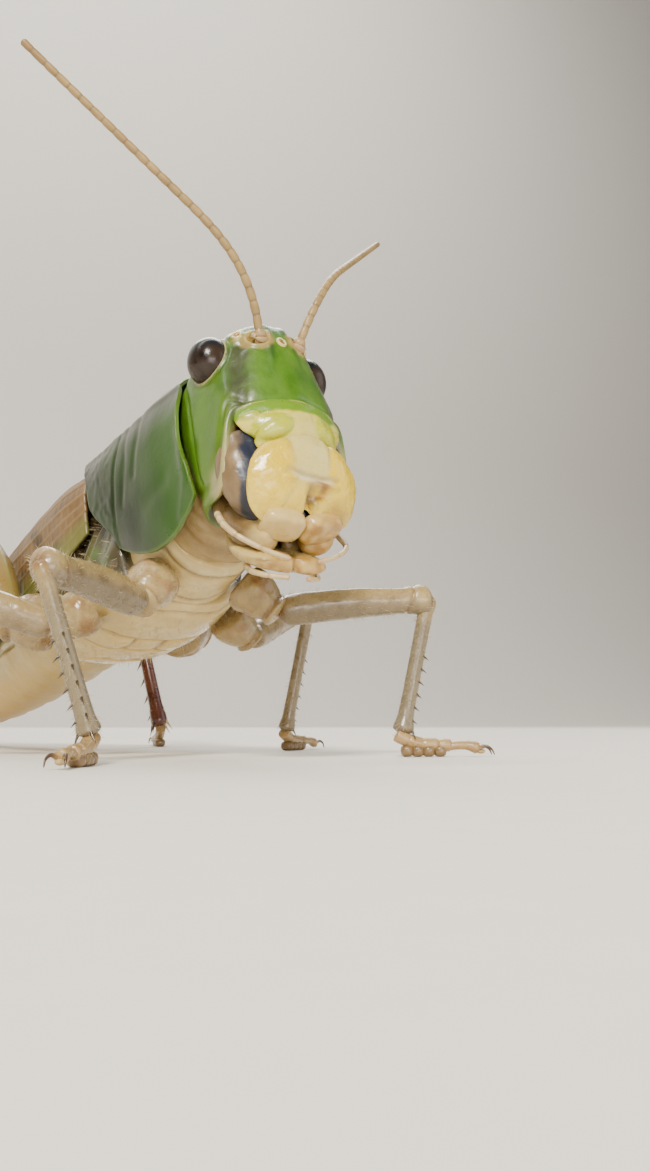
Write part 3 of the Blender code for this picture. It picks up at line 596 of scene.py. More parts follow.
def makeEyes():
    # a smooth dome of very fine facets, drawn about twice their 0.03 mm so that they show
    look = cuticle("compoundEyeLens", eyeLook)
    tree = look.node_tree
    where = tree.nodes["Texture Coordinate"].outputs["Object"]
    facets = addNode(tree, "TexVoronoi", {"Vector": where, "Scale": 1000 / eyeFacet["size"]}, feature="F1")
    dimple = addNode(tree, "Bump", {"Height": facets.outputs["Distance"], "Distance": eyeFacet["depth"] * mm,
                                    "Strength": 0.8, "Normal": tree.nodes["Bump.001"].outputs[0]}, invert=True)
    tree.links.new(dimple.outputs[0], tree.nodes["Principled BSDF"].inputs["Normal"])
    for side, name in sides:
        bm = pillow((0, 0, 0), headShape["eyeRadii"], 1, 96, 64)
        paint(bm, eyeZones)
        x, y, z = headShape["eyeAt"]
        bm.transform(shift(side * x, y, z) @ turn("X", headShape["eyeNod"]) @ turn("Y", side * headShape["eyeLean"]))
        place(f"{name}CompoundEye", bm, headFrame, look, "eyes", f"eye_{name}")


makeOcelli(makeHead())
makeEyes()
print("head and eyes made")

# mouth: face plate, upper lip, jaws, lower lip and palps; rows are z, half width, front y, depth
mouth = {
    "slope": 0.47,  # of every mouth part, from front to back
    "clypeus": ((-3.85, 1.6, 0.50, 0.7), (-3.5, 2.12, 0.40, 0.85), (-3.15, 2.26, 0.34, 0.85),
                (-2.85, 2.14, 0.32, 0.9), (-2.66, 2.34, 0.30, 0.9), (-2.35, 2.72, 0.30, 0.9),
                (-1.80, 2.98, 0.30, 0.9), (-1.25, 2.95, 0.38, 0.8)),
    "labrum": ((-7.45, 1.3, 2.35, 0.5), (-7.2, 2.15, 2.05, 0.7), (-6.6, 2.80, 1.62, 0.9), (-5.8, 3.03, 1.12, 1),
               (-4.9, 2.90, 0.70, 1), (-4.15, 2.50, 0.56, 0.9), (-3.8, 2, 0.58, 0.8)),
    "labium": ((-9.35, 0.9, 4.55, 0.5), (-9, 1.65, 4.35, 0.8), (-8.3, 2.1, 4.65, 0.95), (-6.8, 2.2, 5.6, 0.9),
               (-5, 1.9, 6.05, 0.8)),
    "mandible": ((-6.3, 1.6, 3.1, 3.9), (-5.3, 2.95, 2.35, 4.2), (-4.2, 3.42, 2, 4.4), (-3, 3.55, 1.85, 4.45),
                 (-1.9, 3.45, 1.7, 4.4)),
    "maxilla": ((-5.5, 1.5, 4.85, 5.5), (-4.6, 2.5, 4.65, 5.8), (-3.2, 2.95, 4.6, 5.95), (-2, 2.9, 4.6, 5.9)),
    "blueEdge": ((-8, 5), (-7, 4), (-6.2, 3), (-5.2, 2.45), (-4.2, 2.14), (-3.2, 1.98), (-2, 1.88)),
    "crease": ((-1.35, -6.05), (-0.5, -6.18), (0.4, -6.28), (1.45, -6.28)),
    "stalk": ((1.9, 5, -4.9), (1.9, 4.8, -6.2), (1.5, 4.3, -7.4), (1.1, 3.9, -7.9)),
    "outerPalp": ((3.15, 5, -5.7), (3.3, 4.6, -6.9), (3.05, 4.2, -8), (2.1, 4, -8.9), (0.75, 3.95, -9.5)),
    "innerPalp": ((1.7, 6, -8.1), (1.85, 5.6, -8.9), (1.3, 5.1, -9.6), (0.5, 4.75, -9.95)),
}


def plate(rows, bow, columns, count, notch=0, roundness=0.5):
    low, high = rows[0][0], rows[-1][0]

    def at(u, v):
        latitude = (v - 0.5) * pi
        level = low + (high - low) * (0.5 + 0.5 * power(sin(latitude), 0.8))
        thick = max(0, cos(latitude)) ** roundness
        halfWidth, front, depth = table(rows, level)
        angle = tau * u
        x = halfWidth * power(sin(angle), 0.75)
        y = front + depth / 2 - depth / 2 * thick * power(cos(angle), 0.8) + bow * (x / halfWidth) ** 2
        lift = notch * bump(x, 0.05, 0.2) * (1 - ease(low, low + 1, level))
        return Vector((x, y, level + lift - mouth["slope"] * (y - front)))

    return skin(columns, count, at, cap=False)


def jaw(rows, inner, slopeFrom, columns=64, count=56):
    low, high = rows[0][0], rows[-1][0]

    def at(u, v):
        outer, front, back = table(rows, low + (high - low) * v)
        close = roundEnds(v, 0.12)
        angle = tau * u
        x = (outer + inner) / 2 + close * (outer - inner) / 2 * power(sin(angle), 0.8)
        y = (front + back) / 2 - close * (back - front) / 2 * power(cos(angle), 0.8)
        return Vector((x, y, low + (high - low) * v - mouth["slope"] * (y - slopeFrom)))

    return skin(columns, count, at)


def sideLobe(p, across, height):
    return max(0, 1 - ((abs(p.x) - across[0]) / across[1]) ** 2 - ((p.z - height[0]) / height[1]) ** 2)


def panelEdge(p):
    # the soft middle of the upper lip: its edges lean in towards the notch
    return abs(p.x - 0.05) - (1.05 + 0.12 * (p.z + 5))


def labrumRelief(p, n, u, v):
    front = onFace(n)
    rise = 0.16 * sqrt(sideLobe(p, (1.9, 1.2), (-5.7, 1.9))) * front
    rise -= 0.10 * bump(panelEdge(p), 0, 0.13) * ease(-6.3, -5.7, p.z) * front
    rise += 0.05 * ease(0, -0.3, panelEdge(p)) * ease(-5.9, -5.2, p.z) * front
    rise -= 0.12 * ridge(p.x, p.z, mouth["crease"], 0.10) * front
    rise += 0.09 * ridge(p.x, p.z + 0.2, mouth["crease"], 0.10) * front
    rise -= 0.16 * bump(p.x, 0.05, 0.12) * ease(-6.2, -7, p.z) * front
    rise -= 0.20 * bump(hypot((p.x - 0.45) / 1.3, p.z + 6.85), 0, 0.3) * front
    rise += 0.12 * bump(hypot(p.x - 0.42, p.z + 6.66), 0, 0.17) * front
    return rise + 0.05 * grain(p, 0.5, 5) * front


def labrumZones(p, n, u, v):
    return {
        "panel": ease(0.15, -0.2, panelEdge(p) + 0.12 * grain(p, 0.4, 6)) * ease(-6.7, -6.1, p.z) * onFace(n),
        "lobe": sqrt(sideLobe(p, (1.95, 1.2), (-5.6, 1.9))),
        "crease": ridge(p.x, p.z + 0.12, mouth["crease"], 0.13) * ease(-1.5, -0.6, p.x) * ease(1.6, 0.9, p.x),
        "shade": ridge(p.x, p.z - 0.1, mouth["crease"], 0.10) + 0.5 * bump(panelEdge(p), 0, 0.08) * ease(-6, -5.4, p.z),
        "amber": max(bump(hypot(p.x - 0.42, (p.z + 6.70) / 0.6), 0.38, 0.30),
                     0.7 * bump(hypot((p.x - 1.7) / 0.8, (p.z + 7.5) / 0.5), 0, 0.9))
                 * (0.85 + 0.6 * grain(p, 0.55, 7)),
        "edge": ease(-7.4, -7.9, p.z) * 0.8,
        # painted shade: dark brown down the middle cleft and in the notch of the upper lip
        "grime": max(bump(p.x, 0.05, 0.10) * ease(-6.4, -7, p.z), bump(hypot(p.x - 0.15, p.z + 7.15), 0, 0.3))
                 * onFace(n),
    }


def clypeusRelief(p, n, u, v):
    rise = 0.19 * sqrt(sideLobe(p, (1.52, 0.90), (-3.36, 0.66))) * onFace(n)
    rise += 0.10 * sqrt(sideLobe(p, (2.42, 0.36), (-2.56, 0.22))) * onFace(n)
    rise -= 0.05 * ridge(abs(p.x), p.z, ((1, -2.58), (2.3, -2.56)), 0.06)
    rise -= 0.04 * ridge(abs(p.x), p.z, ((0.60, -2.75), (0.62, -3.6)), 0.10)
    return rise + 0.03 * grain(p, 0.4, 8)


def clypeusZones(p, n, u, v):
    return {
        "leaf": ease(-2.68, -2.48, p.z + 0.10 * bump(p.x, 0.2, 0.9) + 0.1 * grain(p, 0.5, 9)),
        "lobe": ease(0, 0.10, sideLobe(p, (1.52, 0.96), (-3.40, 0.76))) * (0.85 + 0.15 * ease(-3.6, -2.8, p.z)),
        "pale": ease(0, 0.25, sideLobe(p, (2.46, 0.44), (-2.56, 0.26))),
        "clear": ease(0.85, 0.5, abs(p.x)) * ease(-2.6, -2.9, p.z),
    }


# lip plates: soft cream to yellow cuticle, slightly see-through in the middle, wet gloss, with dark brown painted shade
# down the middle cleft and in the notch
labrumCuticle = cuticle("creamLipCuticle", {
    "tone": "#d0b02c", "mottle": "#d8bc48", "mottleSize": 1,
    "zones": "lobe #d8b60a 0.92, panel #c6ba74 0.8, shade #8c7a55 0.5, crease #dcd3bd 0.75, "
             "amber #855a06 0.95, edge #a8722a 0.6, grime #3a220a 0.9",
    "roughness": (0.20, 0.34), "fine": (0.12, 0.012), "wide": (0.35, 0.07), "coat": 0.45, "glow": 0.04,
})
clypeusCuticle = cuticle("yellowGreenCuticle", {
    "tone": "#c8b83c", "mottle": "#d2c456", "mottleSize": 0.7,
    "zones": "clear #c2b464 0.7, leaf #5a8208 0.95, lobe #a2a80c 0.95, pale #a2a440 0.8",
    "roughness": (0.24, 0.38), "wide": (0.35, 0.03), "coat": 0.35, "glow": 0.06,
})
# jaw horn: dark tanned cuticle, blue-black where it is thick, grey-brown outside
jawHorn = cuticle("tannedJawHorn", {
    "tone": "#6f5a3c", "mottle": "#806947", "mottleSize": 0.9,
    "zones": "blue #121d33 0.97, tooth #0d0b0c 0.95",
    "roughness": (0.30, 0.44), "wide": (0.4, 0.04), "glow": 0,
})
mouthSkin = cuticle("creamMouthSkin", {  # soft unhardened skin, cream, wet, stained brown where it feeds
    "tone": "#c2a55c", "mottle": "#cfb676", "mottleSize": 0.7,
    "zones": "stain #95650a 0.85, edge #7c5a2c 0.6, leaf #6c7a2c 0.6, shade #5a4024 0.85",
    "roughness": (0.24, 0.38), "wide": (0.3, 0.03), "coat": 0.35, "glow": 0.06,
})
palpSkin = cuticle("paleJointSkin", {  # thin pale horn, darker at each joint, pinkish at the tip
    "tone": "#bda271", "mottle": "#cdb587", "mottleSize": 0.6,
    "zones": "joint #8f7045 0.5, tip #b0805a 0.7",
    "wide": (0.3, 0.02), "coat": 0.25, "glow": 0.06,
})


def labiumRelief(p, n, u, v):
    return (0.10 * sqrt(sideLobe(p, (1, 1), (-8.9, 0.9))) - 0.20 * bump(p.x, 0, 0.09)) * onFace(n)


def makePalp(name, side, points, cuts, radius, node):
    def size(v):
        swell = 1.12 - 0.30 * ease(0, 0.8, v) + 0.10 * ease(0.8, 0.95, v)
        return radius * swell * (1 - 0.16 * joints(v, cuts, 0.014)) * roundEnds(v, 0.05) + 0.004
    bm = tubeAlong([(side * x, y, z) for x, y, z in points], size, 24, 110)
    paint(bm, lambda p, n, u, v: {"joint": joints(v, cuts, 0.02), "tip": ease(0.9, 0.99, v)})
    place(name, bm, headFrame, palpSkin, "palps", node)


def makeMouth():
    bm = plate(mouth["clypeus"], 0.95, 150, 70)
    emboss(bm, clypeusRelief, 1)
    paint(bm, clypeusZones)
    place("clypeusPlate", bm, headFrame, clypeusCuticle, "mouth_plates", "clypeus", 70)
    bm = plate(mouth["labrum"], 0.85, 190, 130, 0.45)
    emboss(bm, labrumRelief, 1)
    paint(bm, labrumZones)
    place("upperLip", bm, headFrame, labrumCuticle, "mouth_plates", "labrum", 70)
    bm = plate(mouth["labium"], 0.05, 90, 80, 0.3)
    emboss(bm, labiumRelief, 1)
    paint(bm, lambda p, n, u, v: {
        "stain": ease(-8.2, -9.1, p.z + 0.4 * abs(p.x) - 0.3) * (0.7 + 0.8 * grain(p, 0.4, 11)),
        "edge": bump(p.x, 0, 0.1),
    })
    place("lowerLip", bm, headFrame, mouthSkin, "mouth_plates", "labium", 70)
    for side, name in sides:
        where = headFrame @ mirrored(side)
        bm = jaw(mouth["mandible"], 0.1, 0.75)
        emboss(bm, lambda p, n, u, v: 0.05 * grain(p, 0.7, 12) - 0.08 * ridge(p.y, p.z, ((2.6, -2.4), (3, -5.2)), 0.12))
        paint(bm, lambda p, n, u, v: {
            "blue": ease(0.10, -0.12, p.y - table(mouth["blueEdge"], p.z)[0] + 0.10 * grain(p, 0.6, 13)),
            "tooth": ease(-6.1, -7, p.z) * 0.8,
        })
        place(f"{name}Mandible", bm, where, jawHorn, "mandibles", f"mandible_{name}")
        galea = pillow((1.08, 3.34, -7.74), (1.10, 0.85, 0.54), 0.60, tilt=-10)
        stalk = tubeAlong(mouth["stalk"], lambda v: (0.75 + 0.15 * v) * roundEnds(v, 0.2) + 0.01, 32, 24)
        bm = join([jaw(mouth["maxilla"], 0.1, 0.75), stalk, galea])
        stained = 0.95 if side > 0 else 0.25
        paint(bm, lambda p, n, u, v: {
            "stain": ease(-7.4, -8.2, p.z - 0.3 * side * p.x) * stained * (0.7 + 0.9 * grain(p, 0.35, 62)),
            "edge": ease(-8.4, -8.75, p.z) * 0.5,
            "leaf": ease(-3.9, -3, p.z) * ease(2, 2.8, p.x),
            "shade": ease(3.1, 4.2, p.y + 0.9 * grain(p, 0.7, 63)) * ease(-8.2, -7.2, p.z),
        })
        place(f"{name}Maxilla", bm, where, mouthSkin, "mouth_plates", f"maxilla_{name}")
        makePalp(f"{name}OuterPalp", side, mouth["outerPalp"], (0.1, 0.22, 0.48, 0.74), 0.15, f"maxillary_palp_{name}")
        makePalp(f"{name}InnerPalp", side, mouth["innerPalp"], (0.3, 0.65), 0.15, f"labial_palp_{name}")


# feelers: a knobbed base, a short ring, then a whip of many joints
feeler = {
    "length": 17.5, "radius": 0.225, "segments": 25, "baseEnd": 0.06, "ringEnd": 0.09,
    # side, and how far out, forward and up it points
    "right": (-1, 0.86, 0.24, 0.66), "left": (1, 0.63, -0.16, 0.76),
}
feelerHorn = cuticle("ringedFeelerHorn", {  # thin ringed horn, satin, darker at each joint
    "tone": "#8a7040", "mottle": "#a08450", "mottleSize": 0.8,
    "zones": "joint #54401f 0.6, base #b0936a 0.85, tip #705230 0.5",
    "roughness": (0.34, 0.5), "wide": (0.3, 0.02), "coat": 0.1, "glow": 0,
})


def feelerRoute(side, out, forward, up):
    aim = Vector((side * out, -forward, up)).normalized()
    start = Vector((side * 0.25, -0.75, 0.75)).normalized()
    x, z = headShape["socket"]
    points, steps = [Vector((side * x, 0.05, z - 0.05)), Vector((side * x, -0.12, z))], 13
    for k in range(steps):
        heading = start.lerp(aim, ease(-0.1, 0.45, (k + 0.5) / steps))
        points.append(points[-1] + heading.normalized() * feeler["length"] / steps)
    return points


def fromJoint(v):
    # 1 at each joint of the whip, 0 halfway between two
    share = (v - feeler["ringEnd"]) / (1 - feeler["ringEnd"]) * feeler["segments"]
    return abs(2 * (share % 1) - 1)


def feelerRadius(v):
    base, ring = feeler["baseEnd"], feeler["ringEnd"]
    if v < base:
        return 0.43 * roundEnds(v / (2 * base), 0.45) + 0.01
    if v < ring:
        return 0.25 + 0.08 * sin((v - base) / (ring - base) * pi)
    swell = 1 - 0.16 * fromJoint(v) ** 3
    return (feeler["radius"] * swell * (1 - 0.22 * v) - 0.03 * ease(0.15, 0, v)) * roundEnds(max(v, 0.5), 0.012) + 0.002


def feelerJoint(v):
    return ease(0.78, 0.96, fromJoint(v)) if v > feeler["ringEnd"] else bump(v, feeler["baseEnd"], 0.004)


def makeFeelers():
    for name in ("right", "left"):
        bm = tubeAlong(feelerRoute(*feeler[name]), feelerRadius, 18, 360, (0.2, -1, 0.1))
        paint(bm, lambda p, n, u, v: {
            "joint": feelerJoint(v), "base": 1 - ease(feeler["baseEnd"], 0.1, v), "tip": ease(0.85, 1, v)})
        place(f"{name}Feeler", bm, headFrame, feelerHorn, "feelers", f"antenna_{name}")


makeMouth()
makeFeelers()
print("mouth and feelers made")


# finishes of legs and feet
# the blue zone of this finish is painted shade on the fore and mid tibiae
legHorn = cuticle("pinkTanLegHorn", {  # hard glossy leg cuticle, pinkish tan, a little translucent
    "tone": "#85704e", "mottle": "#9c8862", "mottleSize": 1,
    "zones": "belly #a0864f 0.6, grey #514734 0.6, joint #6e4a26 0.75, oval #b59c64 0.7, blue #565850 0.5, "
             "spine #2b1c13 0.9, brown #8a6236 0.7",
    "roughness": (0.20, 0.36), "fine": (0.09, 0.007), "wide": (0.4, 0.03), "coat": 0.25, "glow": 0.02,
    "speck": (0.16, "#5f4526", 0.35),
})
thighShell = cuticle("greenThighShell", {  # strong glossy shell with a herringbone of low ridges
    "tone": "#4a5216", "mottle": "#616b22", "mottleSize": 1.6,
    "zones": "tan #8f703c 0.85, groove #2e360f 0.6, keel #7c8240 0.55, knee #4a3820 0.85, pale #b39d5e 0.7",
    "roughness": (0.24, 0.42), "wide": (0.4, 0.03), "coat": 0.3, "glow": 0.03,
})
shinHorn = cuticle("redBrownShinHorn", {  # dark red-brown horn; the spines pale with black tips
    "tone": "#4c2618", "mottle": "#623322", "mottleSize": 1.2,
    "zones": "pale #a3854f 0.85, spine #cdb47c 0.95, tip #1a100b 0.95",
    "roughness": (0.22, 0.38), "coat": 0.35, "glow": 0.06,
})
footHorn = cuticle("tanFootHorn", {  # tan foot pieces over soft orange-brown pads
    "tone": "#98794a", "mottle": "#ac8e5e", "mottleSize": 0.7,
    "zones": "pad #6e5634 0.85, padEdge #b89c66 0.6, claw #3a1f12 0.95, joint #7c5a38 0.6",
    "roughness": (0.24, 0.4), "wide": (0.25, 0.03), "coat": 0.3,
})
clawHorn = cuticle("darkClawHorn", {  # solid horn, amber brown going to black at the tip
    "tone": "#5b3418", "mottle": "#6f4420", "zones": "dark #120b07 0.95", "roughness": (0.16, 0.28), "coat": 0.5,
})
bristle = cuticle("paleBristle", {  # thin stiff hairs
    "tone": "#b8a479", "mottle": "#c6b48a", "roughness": (0.4, 0.5), "coat": 0, "fine": (0.1, 0), "wide": (0.5, 0),
})


# trunk: neck, front chest, back shield, chest and abdomen; rows are y, half width, top and bottom
trunk = {
    "neck": ((5.2, 2.5, 3, -3.3), (7, 3.15, 4.3, -3.95), (8.9, 3.5, 4.9, -4.4)),
    "prothorax": ((8.7, 3.1, 3.9, -4.6), (10.5, 3.3, 4.1, -5.1), (12.7, 3.45, 4, -5.4)),
    "thorax": ((12.5, 3.75, 3.2, -5.25), (14.2, 4.4, 3.3, -5.9), (17.5, 4.75, 3.2, -6.15), (20.5, 4.65, 3, -6.1),
               (22.8, 4.2, 2.8, -5.85), (24.4, 3.6, 2.6, -5.5)),
    "abdomen": ((24.2, 3.35, 2.5, -5.35), (30, 3.45, 2.45, -5.3), (38, 3.25, 2, -5), (45, 2.75, 1.3, -4.45),
                (49.6, 2, 0.55, -3.8)),
    "tail": ((49.2, 1.75, 0.25, -3.55), (50.6, 1.5, -0.1, -3.3), (51.6, 0.9, -0.6, -2.8)),
    "pronotum": ((4.8, 3.80, 5.05), (6.5, 3.88, 5.3), (8, 4.05, 5.4), (12.4, 4.35, 5.3), (17.9, 4.75, 5.25)),
    "shoulder": 0.56,
}


def barrel(rows, boxiness, topShare, columns, count, swell=None, endRound=0.03):
    first, last = rows[0][0], rows[-1][0]

    def at(u, v):
        y = first + (last - first) * v
        halfWidth, top, bottom = table(rows, y)
        grow = swell(v) if swell else 0
        close = roundEnds(v, endRound) if endRound else 1
        halfWidth, halfHeight = (halfWidth + grow) * close, ((top - bottom) / 2 + grow) * close
        up = power(cos(tau * u), boxiness)
        out = power(sin(tau * u), boxiness)
        x = halfWidth * out * (1 - (1 - topShare) * ease(-0.6, 1, up))
        return Vector((x, y, (top + bottom) / 2 + halfHeight * up))

    return skin(columns, count, at)


def pronotumPlace(u, v):
    across = 2 * u - 1
    fall = abs(across)
    front = 6.5 - 1.2 * ease(0.1, 0.45, fall) - 0.5 * ease(0.5, 0.85, fall)
    back = 17.9 - 3.2 * ease(0, 0.62, fall) - 2.2 * ease(0.5, 1, fall)
    y = front + (back - front) * v
    halfWidth, top = table(trunk["pronotum"], y)
    if fall < trunk["shoulder"]:
        angle = fall / trunk["shoulder"] * pi / 2
        x = halfWidth * sin(angle) ** 0.8
        z = 0.6 + (top - 0.6) * max(0, cos(angle)) ** 0.75
    else:
        drop = (fall - trunk["shoulder"]) / (1 - trunk["shoulder"])
        bottom = -2.6 - 1.5 * sin(pi * v**0.9)
        x = halfWidth * (1 - 0.10 * drop**2)
        z = 0.6 + (bottom - 0.6) * drop
    return Vector((copysign(x, across), y, z + 0.28 * bump(x, 0, 0.45)))


def pronotumRelief(p, n, u, v):
    side = abs(p.x)
    rise = -0.10 * ridge(p.y, p.z, ((11.9, 6), (11.6, 3), (11.9, 0), (12.6, -4)), 0.12)
    rise -= 0.06 * ridge(p.y, p.z, ((9.6, 5.2), (9.2, 2.5), (9.7, 0.5)), 0.24)
    rise -= 0.05 * ridge(p.y, p.z, ((10.8, 4.2), (10.5, 1.8), (11.1, -0.6)), 0.22)
    rise -= 0.05 * ridge(p.y, p.z, ((7, -1), (9.2, -1.6), (11.6, -1.2)), 0.45)
    rise += 0.06 * ridge(p.y, p.z, ((5.25, 1), (5.1, -1.6), (6.1, -3.2)), 0.30)
    rise += 0.07 * bump(p.z, 3.9, 0.25) * ease(2.5, 3.2, side)
    rough = ease(11.8, 12.6, p.y) * 0.04
    return rise + rough * grain(p, 0.35, 21) + 0.05 * grain(p, 1.6, 22)


# the lighter green edge zone is a painted highlight along the shield's margins
shieldCuticle = cuticle("darkShieldCuticle", {  # thick polished cuticle, deep green going to brown-black
    "tone": "#142706", "mottle": "#1e370a", "mottleSize": 2.6,
    "zones": "brown #100f08 0.85, front #2c5307 0.85, back #25390e 0.75, edge #5a7424 0.6, keel #4c4a28 0.5",
    "roughness": (0.26, 0.38), "fine": (0.12, 0.005), "wide": (0.8, 0.02), "glow": 0,
})
# belly plates: smooth cream-tan cuticle with a wet gloss; flanks nearly black with green patches
bellyCuticle = cuticle("creamBellyCuticle", {
    "tone": "#c6ab68", "mottle": "#d4bd80", "mottleSize": 1.6,
    "zones": "middle #d8b866 0.7, flank #2a2419 0.95, patch #47621a 0.9, seam #6e4e20 0.85, white #dccda0 0.7",
    "roughness": (0.18, 0.32), "fine": (0.10, 0.008), "wide": (0.5, 0.03), "coat": 0.45, "glow": 0.06,
})
# the darker fold colour is painted shade in the valleys of the neck folds
foldSkin = cuticle("foldedNeckSkin", {  # soft unhardened skin between the plates, satin, in folds
    "tone": "#9c8350", "mottle": "#ae9463", "mottleSize": 0.8, "zones": "fold #75592c 0.5, leaf #2c4410 0.95",
    "roughness": (0.34, 0.5), "fine": (0.06, 0.008), "wide": (0.25, 0.05), "coat": 0.15, "glow": 0.08,
})

sternumLines = (
    ((-3.9, 17.45), (-2.6, 17), (-1, 17.15), (0, 17.1), (1, 17.15), (2.6, 17), (3.9, 17.45)),
    ((1, 17.2), (0.85, 18.3), (1.1, 19.1)), ((-1, 17.2), (-0.85, 18.3), (-1.1, 19.1)),
    ((-4.2, 19.5), (-2.8, 19.25), (-1.1, 19.1), (1.1, 19.1), (2.8, 19.25), (4.2, 19.5)),
    ((-1.5, 21.7), (-0.5, 21.95), (0.5, 21.95), (1.5, 21.7)), ((1.5, 21.7), (2.2, 22.7), (2.3, 24.2)),
    ((-1.5, 21.7), (-2.2, 22.7), (-2.3, 24.2)), ((-3.4, 13.7), (0, 13.45), (3.4, 13.7)),
)
flankLines = (
    ((16.4, -4.6), (15.6, -1.5), (14.4, 2.8)), ((19, -5.4), (18.2, -2), (17, 2.8)),
    ((22.6, -4.4), (21.4, -1.2), (20, 2.8)), ((13.2, -3.2), (16, -4.1)), ((18.7, -4.1), (22, -4.8)),
)


def below(n):
    return ease(0.35, 0.75, -n.z)


def sternumSeam(p):
    return max(ridge(p.x, p.y, line, 0.10) for line in sternumLines)


def flankSeam(p):
    return max(ridge(p.y, p.z, line, 0.13) for line in flankLines)


def thoraxRelief(p, n, u, v):
    under = below(n)
    rise = -0.24 * sternumSeam(p) * under - 0.20 * flankSeam(p) * (1 - under) * ease(2.5, 3.2, abs(p.x))
    for x in (-0.85, 0.85):
        rise -= 0.20 * bump(hypot(p.x - x, p.y - 21.4), 0, 0.2) * under
    rise += 0.13 * under * bump(hypot((abs(p.x) - 2) / 1.1, (p.y - 18.2) / 0.9), 0, 0.9)
    rise += 0.12 * (1 - under) * cos((p.y - 15.4 + 0.25 * p.z) * 2.1)
    return rise + 0.05 * grain(p, 0.8, 31)


def thoraxZones(p, n, u, v):
    return {
        "flank": ease(-4.55, -3.7, p.z + 0.35 * grain(p, 0.9, 32)) * ease(2.6, 3.4, abs(p.x)),
        "patch": max(bump(hypot((p.y - 15) / 1.5, (p.z + 2.5) / 1.6), 0, 0.9),
                     bump(hypot((p.y - 20.6) / 1.3, (p.z + 2.6) / 1.4), 0, 0.9)) * (0.6 + 0.9 * grain(p, 0.8, 33)),
        "seam": max(sternumSeam(p) * below(n), flankSeam(p) * (1 - below(n)) * 0.5),
        "middle": below(n) * ease(3, 1.2, abs(p.x)) * ease(16.6, 17.6, p.y),
        "white": below(n) * ease(23.3, 24, p.y),
    }


def collarSeam(p):
    return ridge(p.x, p.y, ((-1.6, 11.9), (0, 12.2), (1.6, 11.9)), 0.12)


def prothoraxRelief(p, n, u, v):
    return 0.10 * bump(p.y, 9.3, 0.22) - 0.10 * bump(p.y, 9.75, 0.14) - 0.12 * collarSeam(p) + 0.05 * grain(p, 0.6, 24)


def makeTrunk():
    bm = barrel(trunk["neck"], 0.85, 0.85, 96, 60, lambda v: 0.03 * sin(v * tau * 2.5), 0)
    emboss(bm, lambda p, n, u, v: 0.05 * grain((p.x, p.y * 2, p.z), 0.7, 23)
           + 0.035 * sin(p.y * 11 + 5 * grain(p, 2, 28)))
    # painted shade: darker brown in the valleys between the neck folds
    paint(bm, lambda p, n, u, v: {"fold": 0.5 - 0.5 * sin(v * tau * 2.5), "leaf": ease(-1.2, 0.8, p.z)})
    place("neckSkin", bm, bodyFrame, foldSkin, "membrane", "neck")

    bm = barrel(trunk["prothorax"], 0.8, 0.85, 120, 80)
    emboss(bm, prothoraxRelief, 1)
    paint(bm, lambda p, n, u, v: {
        "seam": max(bump(p.y, 9.75, 0.12), collarSeam(p)) * 0.8,
        # painted shade: darker towards the top, where the back shield covers the front chest
        "flank": ease(-3, -2, p.z) * 0.6,
        "white": bump(p.y, 9.3, 0.3) * 0.6,
    })
    addHairs(bm, bodyTurn, 320, 0.34, 302, lay=(0, 0.5, 0), keep=lambda p, n: p.z < -1.5)
    place("prothoraxPlates", bm, bodyFrame, bellyCuticle, "belly_shell", "prothorax", 60)

    bm = skin(190, 120, pronotumPlace, closed=False)
    emboss(bm, pronotumRelief, 1)
    paint(bm, lambda p, n, u, v: {
        # painted highlight: lighter green along the front, back and lower margins
        "edge": max(ease(0.012, 0.004, v), ease(0.988, 0.996, v) * 0.7, ease(0.008, 0.003, min(u, 1 - u))),
        "front": ease(6, 1, p.y - 4.8 + 0.8 * grain(p, 1.4, 27)) * ease(4.2, 1.6, p.z),
        "brown": ease(-0.1, 0.75, grain(p, 3.6, 25) + 0.6 * ease(1, 3.6, p.z) * ease(3, 3.9, abs(p.x))),
        "back": ease(3.2, 4.6, p.z) * (0.7 + 0.6 * grain(p, 0.9, 26)),
        "keel": bump(p.x, 0, 0.2),
    })
    shield = place("pronotumShield", bm, bodyFrame, shieldCuticle, "back_shield", "pronotum")
    thicken(shield, 0.22, 0.06)

    bm = barrel(trunk["thorax"], 0.68, 0.62, 200, 170)
    emboss(bm, thoraxRelief, 1)
    paint(bm, thoraxZones)
    addHairs(bm, bodyTurn, 1400, 0.40, 304, lay=(0, 0.8, 0), keep=lambda p, n: abs(p.x) > 2 or n.z < -0.9)
    place("thoraxPlates", bm, bodyFrame, bellyCuticle, "belly_shell", "thorax", 60)


# abdomen: eight rings, each lapping over the next, and the digging valves
abdomen = {"rings": 8, "from": 24.2, "length": 25.4}


def ringStep(v):
    share = (v * abdomen["rings"]) % 1
    return 0.16 * ease(0, 0.9, share) - 0.12 - 0.13 * bump(share, 1, 0.035)


def sideFold(p):
    # the soft fold between back plates and belly plates
    return ridge(p.y, p.z, ((24, -2.3), (38, -2.2), (50, -1.9)), 0.20)


abdomenCuticle = cuticle("abdomenRingCuticle", {  # thin flexible plates, satin; cream below, brown above
    "tone": "#bda25a", "mottle": "#cbb374", "mottleSize": 1.5,
    "zones": "yellow #d0a440 0.55, back #6a4c28 0.9, purple #4c3226 0.8, stripe #e0d6b4 0.95, "
             "seam #6f4f20 0.85, last #9c6420 0.8, tip #2b1a10 0.9, pore #2c1c12 0.9",
    "roughness": (0.30, 0.46), "fine": (0.08, 0.008), "wide": (0.4, 0.03), "glow": 0.06,
})


def ringShare(y):
    return ((y - abdomen["from"]) / abdomen["length"] * abdomen["rings"]) % 1


def pore(p, width):
    # a breathing hole low on the side of each ring
    return bump(hypot(ringShare(p.y) * 3.17 - 0.7, p.z + 1.35 - 0.012 * (p.y - 24)), 0, width)


